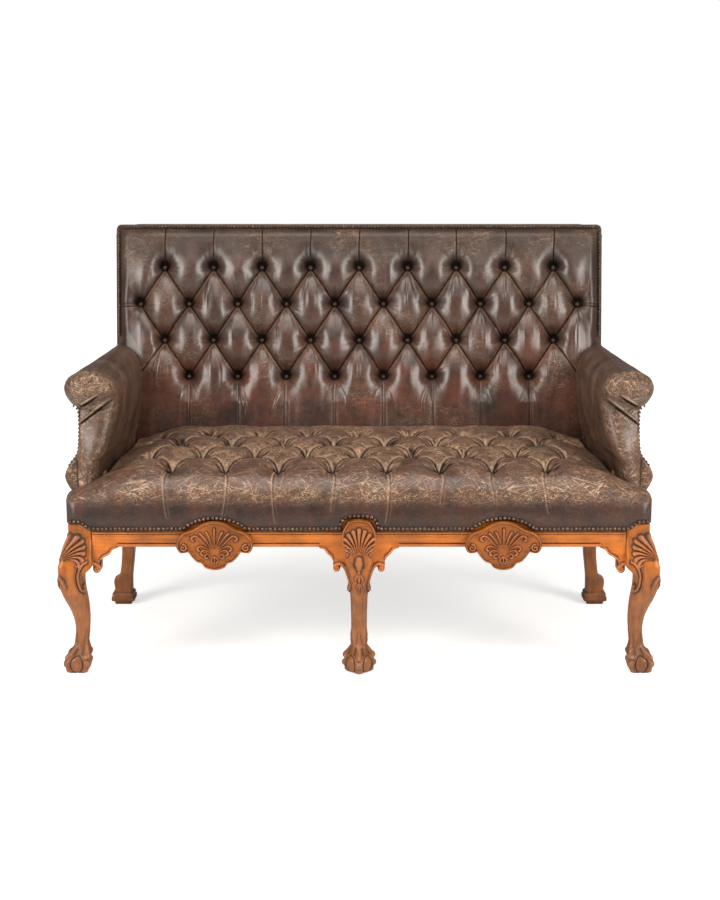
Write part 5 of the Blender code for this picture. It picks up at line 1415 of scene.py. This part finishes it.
class SETTEE_OT_centre_leg(bpy.types.Operator):
    """Middle front leg: claw-and-ball foot, husk, scrolled edges and the lower part of the shell."""

    bl_idname = "settee.centre_leg"
    bl_label = "Centre leg"

    def carving(self):
        """Tongue, bead and husks down the middle, the shell above and a scroll down each edge."""
        tongue = [(0, 0.291, 0.0070), (0, 0.279, 0.0085), (0, 0.268, 0.0055)]
        bead = [(0, 0.2605, 0.0034), (0, 0.2580, 0.0034)]
        strokes = [(tongue, 1.0), (bead, 1.0)]
        for top, size in ((0.254, 1.0), (0.231, 0.72)):
            husk = [(0, top, 0.0020), (0, top - 0.013 * size, 0.0042 * size), (0, top - 0.023 * size, 0.0014)]
            bell = [(0.002, top, 0.0020), (0.0085 * size, top - 0.010 * size, 0.0036 * size),
                    (0.006 * size, top - 0.024 * size, 0.0012)]
            strokes += [(husk, 1.0), *both_hands([(bell, 0.85)])]
        strokes.append(([(0, 0.213, 0.0018), (0, 0.203, 0.0010)], 0.8))
        band = [(0.0400, 0.2690, 0.0044), (0.0350, 0.2630, 0.0044), (0.0300, 0.2520, 0.0042), (0.0268, 0.2400, 0.0038),
                (0.0250, 0.2280, 0.0036), (0.0262, 0.2170, 0.0046), (0.0300, 0.2140, 0.0040), (0.0320, 0.2190, 0.0026)]
        thin = [(0.0300, 0.2740, 0.0015), (0.0270, 0.2640, 0.0015), (0.0225, 0.2500, 0.0014), (0.0195, 0.2360, 0.0014),
                (0.0180, 0.2200, 0.0010)]
        return strokes + centre_shell() + both_hands([(band, 1.0), (thin, 0.6)])

    def execute(self, context):
        y = POST_Y - 0.007
        low, top = SHANK_LOW, RAIL_BOTTOM - 0.0003
        wide, deep = 0.034, 0.030
        stations = []
        for share, swing, half_x, half_y, square in (
                (0.0, 0.0, 0.0196, ANKLE, 2.2), (0.12, -0.04, 0.0193, ANKLE, 2.2),
                (0.27, 0.15, 0.0195, ANKLE * 1.2, 2.2), (0.40, 0.50, 0.0205, deep * 0.83, 2.4),
                (0.53, 0.83, 0.0222, deep * 0.94, 2.6), (0.545, 0.85, 0.0262, deep * 0.95, 2.6),
                (0.575, 0.90, 0.0286, deep * 0.96, 2.6), (0.615, 0.96, 0.0270, deep * 0.98, 2.7),
                (0.64, 0.98, 0.0262, deep, 2.8), (0.67, 1.0, 0.0278, deep, 2.8), (0.74, 0.98, 0.0326, deep, 3.0),
                (0.80, 0.95, 0.0338, deep, 3.4), (0.91, 0.80, wide, deep, 4.0), (1.0, 0.62, wide, deep, 6.0)):
            stations.append((low + (top - low) * share, swing * KNEE_SWING, half_x, half_y, square))
        leg = leg_mesh("carved_leg_centre", lambda s: (0 * s, y - s), stations, facing=270, strokes=self.carving(),
                       rise=0.0036, foot_centre=(0, y - 0.014))
        finish_piece(leg, leg_material(), ["front_leg_centre"], 45)
        return {"FINISHED"}


class SETTEE_OT_rear_legs(bpy.types.Operator):
    """Rear legs: moulded block foot, swept shank with a heel scroll, and the stile under the leather."""

    bl_idname = "settee.rear_legs"
    bl_label = "Rear legs"

    def rings(self):
        """Sections from the floor up: out from the stile, back from it, height, half width, half depth and old wax."""
        foot, back, block, top = 0.0318, 0.046, 0.0345, 1.0475
        rows = [(foot, back, z, half, half, wax) for z, half, wax in (
            (0.0, 0.0225, 0.5), (0.0060, 0.0235, 0.5), (0.0100, 0.0260, 0.6), (0.0106, 0.0318, 0.5),
            (0.0200, 0.0322, 0.2), (0.0214, 0.0302, 0.7), (0.0224, 0.0298, 0.3), (0.0296, 0.0298, 0.1),
            (0.0340, 0.0250, 0.4))]
        for share, out, sweep, scroll, half in (
                (0.0, 0.0262, 1.0, 0.5, 0.0190), (0.05, 0.0256, 0.995, 0.8, 0.0184), (0.10, 0.0248, 0.985, 1.0, 0.0178),
                (0.13, 0.0240, 0.97, 1.0, 0.0172), (0.155, 0.0232, 0.96, 0.3, 0.0168), (0.20, 0.0212, 0.93, 0, 0.0165),
                (0.30, 0.0170, 0.82, 0, 0.0162), (0.40, 0.0136, 0.70, 0, 0.0166), (0.50, 0.0112, 0.56, 0, 0.0172),
                (0.60, 0.0098, 0.42, 0, 0.0178), (0.70, 0.0090, 0.28, 0, 0.0184), (0.80, 0.0086, 0.16, 0, 0.0190),
                (0.90, 0.0084, 0.07, 0, 0.0196), (1.0, 0.0080, 0.0, 0, 0.0200)):
            grow = scroll * 0.0072
            height = block + (RAIL_BOTTOM - block) * share
            rows.append((out + grow, sweep * back, height, half + grow, 0.0205, 0.25 * scroll))
        # the stile, with a dark stained end
        lean = (top - RAIL_TOP) * math.tan(BACK_RAKE)
        for sweep, height, wax in ((0.0, RAIL_BOTTOM + 0.020, 0.0), (0.0, RAIL_TOP, 0.0), (lean, top, 1.2)):
            rows.append((0.0, sweep, height, 0.0223, 0.0198, wax))
        return np.array(rows)

    def execute(self, context):
        out, back, height, half_x, half_y, wax = self.rings().T[:, :, None]
        angle = np.linspace(0, math.tau, 96, endpoint=False)
        bx, by = squarish(angle[None, :], half_x, half_y, 14.0)
        marks = {"recess": np.repeat(wax, len(angle))}
        for side, sign in SIDES:
            points = np.stack([sign * (0.6275 + out) + bx, STILE_FACE_Y + 0.020 + back + by,
                               np.broadcast_to(height, bx.shape)], -1)
            leg = mesh_object(f"swept_leg_{side}", points, tube_faces(len(points), len(angle)), marks)
            finish_piece(tidy_normals(leg, FINE_MERGE), leg_material(), [f"rear_leg_{side}"], 35)
        return {"FINISHED"}


class SETTEE_OT_rails(bpy.types.Operator):
    """Show-wood rails: bead along the lower edge, fine bead under the nails, rebate for the leather."""

    bl_idname = "settee.rails"
    bl_label = "Rails"
    # depths of the grooves beside the beads, where old wax and painted shade lie
    quirks = (-0.0016, -0.0012, -0.0008)

    def section(self, plain):
        """Depth out of the face and height, from the back of the underside round to the top.

        A plain one has no lower bead.
        """
        lower, middle, upper = self.quirks
        bead = [(-0.034, 0.0), (-0.001, 0.0)]
        for turn in np.linspace(-math.pi / 2, math.pi / 2, 9):
            bead.append((0.0032 * math.cos(turn) - 0.0002, 0.0036 + 0.0034 * math.sin(turn)))
        bead += [(lower, 0.0076), (lower, 0.0100)]
        if plain:
            bead = [(out if out < -0.003 else -0.0002, up) for out, up in bead]
        bead += [(0.0, 0.0106), (0.0, 0.0300), (middle, 0.0306), (middle, 0.0324)]
        for turn in np.linspace(-math.pi / 2, math.pi / 2, 6):
            bead.append((0.0014 * math.cos(turn), 0.0338 + 0.0016 * math.sin(turn)))
        return bead + [(upper, 0.0360), (upper, 0.0400), (-0.008, 0.0400), (-0.008, 0.095), (-0.034, 0.095)]

    def loft(self, name, places, plain, point, replaced):
        """A rail through sections at places along it: plain says which have no bead, point where a section lies."""
        sections = [self.section(plain(place)) for place in places]
        rings = np.array([[point(place, out, RAIL_BOTTOM + up) for out, up in section]
                          for place, section in zip(places, sections)])
        out = np.array(sections)[..., 0].ravel()
        # the grooves are dark with old wax and painted shade; the proud bead paler, rubbed and a painted highlight
        marks = {"recess": np.isin(out, self.quirks), "ridge": np.where(out > 0.002, 0.5, 0.0)}
        obj = mesh_object(name, rings, tube_faces(*rings.shape[:2]), marks)
        finish_piece(tidy_normals(obj, FINE_MERGE), rail_material(), [replaced], 35)

    def execute(self, context):
        half = [0.6417, 0.61, 0.582, 0.5805, 0.54, 0.48, 0.42, 0.36, 0.30, 0.24, 0.18, 0.13, 0.0965, 0.095, 0.06, 0.02]
        self.loft("moulded_front_rail", [-x for x in half] + half[::-1], lambda x: abs(x) > 0.581 or abs(x) < 0.096,
                  lambda x, out, z: (x, RAIL_FACE_Y - out, z), "front_rail")
        depths = [POST_Y + 0.0293, -0.23, -0.206, -0.2045, *np.linspace(-0.18, STILE_FACE_Y - 0.0003, 12)]
        for side, sign in SIDES:
            self.loft(f"moulded_side_rail_{side}", depths, lambda y: y < -0.205,
                      lambda y, out, z, sign=sign: (sign * (side_x(y) + out), y, z), f"side_rail_{side}")
        return {"FINISHED"}


class SETTEE_OT_brackets(bpy.types.Operator):
    """Scrolled knee brackets: a bead follows the lower edge into a volute that hangs beside the leg."""

    bl_idname = "settee.brackets"
    bl_label = "Knee brackets"
    # lower edges from the leg to the rail, across and up: a close one and one that reaches round the centre leg
    ogee = ((0.031, -0.024), (0.040, -0.019), (0.045, -0.0125), (0.049, -0.0072), (0.055, -0.004), (0.062, -0.0006))
    hung = ((0.0003, -0.0560), (0.0022, -0.0612), (0.0075, -0.0645), (0.0135, -0.0635), (0.0180, -0.0592),
            (0.0195, -0.0530), (0.0182, -0.0462), (0.0170, -0.0405), (0.0182, -0.0355), (0.0228, -0.0300), *ogee)
    reach = ((0.0003, -0.0600), (0.0040, -0.0530), (0.0085, -0.0485), (0.0110, -0.0505), (0.0122, -0.0555),
             (0.0150, -0.0597), (0.0195, -0.0612), (0.0242, -0.0595), (0.0275, -0.0550), (0.0284, -0.0490),
             (0.0272, -0.0430), (0.0272, -0.0370), (0.0300, -0.0300), (0.0345, -0.0235), (0.040, -0.0185), *ogee[2:])
    hung_band = ((0.0098, -0.0450, 0.0044), (0.0045, -0.0425, 0.0046), (0.0003, -0.0410, 0.0046))
    reach_band = ((0.0198, -0.0428, 0.0042), (0.0120, -0.0415, 0.0044), (0.0050, -0.0445, 0.0044),
                  (0.0003, -0.0505, 0.0044))
    depth = 0.0298

    def one(self, edge, volute, band):
        """A bracket in its own plane: across from the leg, up from the rail's underside, out of its face."""
        lower = spline(edge, 130)
        rows, columns = 44, len(lower)
        upper = np.column_stack([0.5 * lower[:, 0] + 0.5 * np.linspace(0, edge[-1][0], columns), np.zeros(columns)])
        share = np.linspace(0, 1, rows)[:, None, None]
        u, v = (lower[None] * (1 - share) + upper[None] * share).reshape(-1, 2).T
        past = lower[lower[:, 0] > volute[0] + 0.010]
        bead = [(a - 0.0006, min(b + 0.0030, -0.0006), 0.0028) for a, b in past]
        inner = [(a - 0.0040, min(b + 0.0085, -0.0006), 0.0012) for a, b in past[4:]]
        curl = spiral(*volute, turns=1.35, radius=0.0088, width=0.0040, hand=-1)
        strokes = [(bead, 1.0), (curl, 1.0), (band, 1.0), (inner, 0.40)]
        carved, wide = relief(u, v, strokes), relief(u, v, broadened(strokes, 1.8))
        points = [np.column_stack([u, v, out]) for out in (carved * 0.0052, np.full_like(u, -self.depth))]
        count = rows * columns
        faces = sheet_faces(rows, columns)
        rim = grid_rim(rows, columns)
        after = np.roll(rim, -1)
        wall = np.stack([rim, rim + count, after + count, after], -1)
        # old wax and painted shade round the carving; its tops paler, rubbed and a painted highlight
        marks = {"recess": wide * 1.1 - 1.3 * carved, "ridge": 1.3 * carved - 0.6}
        marks = {name: np.concatenate([unit(values), np.zeros(count)]) for name, values in marks.items()}
        return np.vstack(points), np.vstack([faces, faces[:, ::-1] + count, wall]), marks

    def execute(self, context):
        near = self.one(self.hung, (0.0098, -0.0540), self.hung_band)
        wide = self.one(self.reach, (0.0198, -0.0516), self.reach_band)
        top, face, post = RAIL_BOTTOM - 0.0003, RAIL_FACE_Y - 0.0003, POST_Y + 0.029
        slant = math.atan(SIDE_SLOPE)
        ahead = (0, -1, 0)
        places = [(f"front_{side}", near, (sign * 0.642, face, top), (-sign, 0, 0), ahead) for side, sign in SIDES]
        places += [(f"centre_{side}", wide, (sign * 0.034, face, top), (sign, 0, 0), ahead) for side, sign in SIDES]
        for side, sign in SIDES:
            outward = (sign * math.cos(slant), math.sin(slant), 0)
            along = (-sign * math.sin(slant), math.cos(slant), 0)
            places.append((f"side_{side}", near, (sign * (side_x(post) - 0.002), post + 0.0017, top), along, outward))
        for name, (shape, faces, marks), origin, across, outward in places:
            axes = np.array([across, (0, 0, 1), outward], float)
            obj = mesh_object(f"scrolled_bracket_{name}", np.array(origin) + shape @ axes, faces, marks)
            finish_piece(tidy_normals(obj, FINE_MERGE), rail_material(), [f"knee_bracket_{name}"], 40)
        return {"FINISHED"}


class SETTEE_OT_shell_panels(bpy.types.Operator):
    """Carved plates on the front rail: two shell cartouches and the arched plate over the centre knee."""

    bl_idname = "settee.shell_panels"
    bl_label = "Shell panels"
    # right halves of the outlines, from the foot to the top, and ribs on one side of a cartouche
    wide = ((0, 0.2626), (0.0218, 0.2678), (0.0316, 0.2790), (0.0436, 0.2835), (0.0545, 0.2945), (0.0650, 0.3080),
            (0.0725, 0.3055), (0.0840, 0.3060), (0.0905, 0.3150), (0.0920, 0.3258), (0.0883, 0.3390), (0.0785, 0.3505),
            (0.0632, 0.3570), (0.0523, 0.3605), (0.0414, 0.3668), (0.0218, 0.3775), (0, 0.3812))
    arch = ((0, RAIL_BOTTOM), (0.020, RAIL_BOTTOM), (0.0355, 0.3163), (0.0395, 0.3260), (0.0405, 0.3400),
            (0.0385, 0.3570), (0.0320, 0.3700), (0.0230, 0.3810), (0, 0.3858))
    ribs = (((0.0061, 0.3263), (0.0126, 0.3445), (0.0192, 0.3560)),
            ((0.0116, 0.3240), (0.0235, 0.3422), (0.0345, 0.3530)),
            ((0.0148, 0.3195), (0.0301, 0.3354), (0.0440, 0.3470), (0.0530, 0.3440), (0.0545, 0.3375),
             (0.0500, 0.3355)),
            ((0.0148, 0.3149), (0.0279, 0.3218), (0.0370, 0.3215), (0.0412, 0.3145), (0.0365, 0.3105)),
            ((0.0126, 0.3081), (0.0225, 0.3127), (0.0301, 0.3100), (0.0325, 0.3030), (0.0280, 0.2995)),
            ((0.0105, 0.3013), (0.0170, 0.3036), (0.0228, 0.2990), (0.0215, 0.2925), (0.0170, 0.2925)))

    def plate(self, name, x, outline, strokes, replaced, thickness, rise, middle, field):
        """A plate carved by strokes: its face in rings from the rim inwards, rising towards the middle by the field."""
        rim = spline([*outline, *((-a, b) for a, b in reversed(outline[1:-1]))], 460, closed=True)
        shares = 1 - np.linspace(0, 0.95, 96)
        centre = np.array([0.0, middle])
        flat = centre + (rim - centre)[None, :, :] * shares[:, None, None]
        u, v = flat[..., 0], flat[..., 1]
        border = [(a, b, 0.0022) for a, b in centre + (rim - centre) * 0.965]
        lines = [([*border, border[0]], 0.75), *strokes]
        carved, broad = relief(u, v, lines), relief(u, v, broadened(lines, 1.7))
        ground = thickness - rise * (1 - field * ease((0.9 - shares) / 0.5))[:, None]
        back = RAIL_FACE_Y - 0.0033
        edge = np.array([0.0, 0.55, 0.85])[:, None] * ground[0, 0]
        sides = np.stack(np.broadcast_arrays(rim[:, 0] + x, back - edge, rim[:, 1]), -1)
        every = np.concatenate([sides, np.stack([u + x, back - (ground + carved * rise), v], -1)])
        blank = np.zeros(sides.shape[:2])
        # old wax and painted shade round the carving, and the face a little darker overall; the carved tops paler,
        # rubbed and a painted highlight
        marks = {"recess": broad * 1.15 - 1.35 * carved + 0.24, "ridge": carved * 1.3 - 0.65}
        marks = {mark: np.concatenate([blank, unit(values)]) for mark, values in marks.items()}
        obj = mesh_object(name, every, tube_faces(*every.shape[:2]), marks)
        finish_piece(tidy_normals(obj, FINE_MERGE), plate_material(), [replaced], 45)

    def rib(self, points, start=0.0012, tip=0.0032):
        """A smooth ridge through a few points, thin at its root."""
        path = spline(points, 14)
        return [(a, b, start + (tip - start) * i / 13) for i, (a, b) in enumerate(path)]

    def cartouche(self):
        """Carving of a side panel: a tall middle rib, three curling ribs above and three below, and a husk."""
        ear = spiral(0.0755, 0.3175, turns=1.35, radius=0.0090, width=0.0030, hand=1)
        sweep = self.rib([(0.0870, 0.3340), (0.0800, 0.3430), (0.0690, 0.3475), (0.0600, 0.3470)], 0.0014, 0.0020)
        inner = self.rib([(0.0640, 0.3165), (0.0530, 0.3030), (0.0420, 0.2910), (0.0300, 0.2860), (0.0200, 0.2760),
                          (0.0, 0.2700)], 0.0016, 0.0016)
        husk = self.rib([(0.0015, 0.2960), (0.0080, 0.2880), (0.0035, 0.2790)], 0.0018, 0.0026)
        strokes = [(self.rib([(0, 0.318), (0, 0.340), (0, 0.3640)]), 1.0),
                   (self.rib([(0, 0.2960), (0, 0.2785)], 0.0026, 0.0016), 1.0)]
        beside = [(self.rib(rib), 1.0) for rib in self.ribs]
        return strokes + both_hands([*beside, (ear, 1.0), (sweep, 0.5), (inner, 0.55), (husk, 0.9)])

    def execute(self, context):
        for side, sign in SIDES:
            self.plate(f"carved_shell_{side}", sign * SHELL_X, self.wide, self.cartouche(), f"shell_panel_{side}",
                       thickness=0.0175, rise=0.0056, middle=0.322, field=0.25)
        self.plate("carved_knee_plate", 0.0, self.arch, centre_shell(), "knee_plate_centre",
                   thickness=0.0195, rise=0.0052, middle=0.345, field=0.2)
        return {"FINISHED"}


class SETTEE_OT_inside(bpy.types.Operator):
    """Finishes of the frame, webbing, springs and linings that the upholstery hides, and of the rear rail."""

    bl_idname = "settee.inside"
    bl_label = "Inside of the settee"

    def execute(self, context):
        beech = plain_stuff("beech, sawn", "#C79E6B", 2.0, 0.18, 0.65, stretch=(0.15, 1.0, 1.0))
        finishes = {
            "hessian": plain_stuff("hessian", "#A5855A", 1.8, 0.35, 0.95, weave=True),
            "webbing": plain_stuff("jute webbing", "#B89C6C", 2.6, 0.30, 0.95, weave=True),
            "spring": plain_stuff("spring steel, blued", "#8C8880", 6.0, 0.25, 0.35, metallic=1.0),
            "dust_cover": plain_stuff("dust cloth, black cotton", "#1E1C1B", 0.9, 0.35, 0.95, weave=True),
            "rear_rail": rail_material(),
        }
        for name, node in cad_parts.items():
            if not node.hide_render:
                node.data.materials.clear()
                node.data.materials.append(next((finishes[word] for word in finishes if word in name), beech))
        return {"FINISHED"}


class SETTEE_OT_stage(bpy.types.Operator):
    """Pale floor, soft studio lamps, white surround and the camera."""

    bl_idname = "settee.stage"
    bl_label = "Studio and camera"
    lamp_colour = (1.0, 0.962, 0.90)
    white = (1, 1, 1, 1)

    def hang(self, name, data, place):
        obj = bpy.data.objects.new(name, data)
        bpy.context.scene.collection.objects.link(obj)
        obj.location = place
        return obj

    def lamp(self, name, place, target, size, power):
        light = bpy.data.lights.new(name, "AREA")
        light.shape = "RECTANGLE"
        light.size, light.size_y = size
        light.energy = power
        light.color = self.lamp_colour
        turn = (Vector(target) - Vector(place)).to_track_quat("-Z", "Y")
        self.hang(name, light, place).rotation_euler = turn.to_euler()

    def floor(self):
        """A matt paper floor that the camera sees fade to white."""
        deselect()
        bpy.ops.mesh.primitive_plane_add(size=24.0, location=(0, 4.0, -0.0005))
        floor = new_primitive("studio_floor")
        bpy.ops.object.transform_apply(location=True, rotation=True, scale=True)
        paper = colours().floor
        material, nodes, shader = new_material("studio paper, matt", paper)
        place = nodes.place()
        tone = nodes.ramp(nodes.noise(place, 6.0, 3.0), (0.3, tinted(paper, 0.97)), (0.7, paper))
        seen = nodes.add("ShaderNodeLightPath").outputs["Is Camera Ray"]
        reach = nodes.add("ShaderNodeVectorMath", {"operation": "LENGTH"}, i0=place).outputs["Value"]
        lift = nodes.times(seen, nodes.smooth(reach, 0.9, 2.6, 0.60, 1.0))
        nodes.feed(shader, Base_Color=tone, Roughness=1.0, Specular_IOR_Level=0.0,
                   Emission_Color=self.white, Emission_Strength=lift)
        floor.data.materials.append(material)

    def surround(self, scene):
        """A world that is white to the camera and dim as a lamp."""
        world = scene.world or bpy.data.worlds.new("studio")
        scene.world = world
        world.use_nodes = True
        nodes = Nodes(world.node_tree)
        path = nodes.add("ShaderNodeLightPath").outputs
        seen = nodes.most(path["Is Camera Ray"], path["Is Transmission Ray"])
        strength = nodes.plus(nodes.times(seen, 0.84), 0.16)
        nodes.feed(nodes.tree.nodes["Background"], Color=self.white, Strength=strength)

    def execute(self, context):
        scene = context.scene
        scene.view_settings.view_transform = "Standard"
        self.floor()
        self.surround(scene)
        self.lamp("overhead soft box", (0.0, -0.9, 3.0), (0, 0.0, 0.5), (2.6, 1.8), 60)
        for side, sign in SIDES:
            self.lamp(f"{side} soft box", (sign * 2.7, -2.3, 1.6), (0, 0, 0.6), (1.7, 2.2), 36)
            self.lamp(f"{side} soft box, middle", (sign * 2.6, -2.22, 1.57), (0, 0, 0.6), (1.15, 1.9), 60)
        camera = bpy.data.cameras.new("camera")
        camera.lens = 65.15
        camera.sensor_width = 36.0
        camera.sensor_fit = "AUTO"
        scene.camera = self.hang("camera", camera, (0.0024, -4.1287, 1.30))
        scene.camera.rotation_euler = (math.radians(90 - 11.1055), 0, 0)
        return {"FINISHED"}


class SETTEE_PT_panel(bpy.types.Panel):
    """Sizes, colours and the steps that dress the settee."""

    bl_idname = "SETTEE_PT_panel"
    bl_label = "Settee"
    bl_space_type = "VIEW_3D"
    bl_region_type = "UI"
    bl_category = "Settee"

    def draw(self, context):
        for group in (context.scene.settee_sizes, context.scene.settee_colours):
            for name in group.__annotations__:
                self.layout.prop(group, name)
        for operator in OPERATORS:
            self.layout.operator(operator.bl_idname)


OPERATORS = (SETTEE_OT_stage, SETTEE_OT_back, SETTEE_OT_seat, SETTEE_OT_arms, SETTEE_OT_back_leather, SETTEE_OT_buttons,
             SETTEE_OT_nails, SETTEE_OT_corner_legs, SETTEE_OT_centre_leg, SETTEE_OT_rear_legs, SETTEE_OT_rails,
             SETTEE_OT_brackets, SETTEE_OT_shell_panels, SETTEE_OT_inside)
CLASSES = (SetteeSizes, SetteeColours, *OPERATORS, SETTEE_PT_panel)


def register():
    for item in CLASSES:
        bpy.utils.register_class(item)
    bpy.types.Scene.settee_sizes = bpy.props.PointerProperty(type=SetteeSizes)
    bpy.types.Scene.settee_colours = bpy.props.PointerProperty(type=SetteeColours)


def unregister():
    del bpy.types.Scene.settee_colours
    del bpy.types.Scene.settee_sizes
    for item in reversed(CLASSES):
        bpy.utils.unregister_class(item)


def main():
    register()
    for operator in OPERATORS:
        group, name = operator.bl_idname.split(".")
        getattr(getattr(bpy.ops, group), name)()


if __name__ == "__main__":
    main()
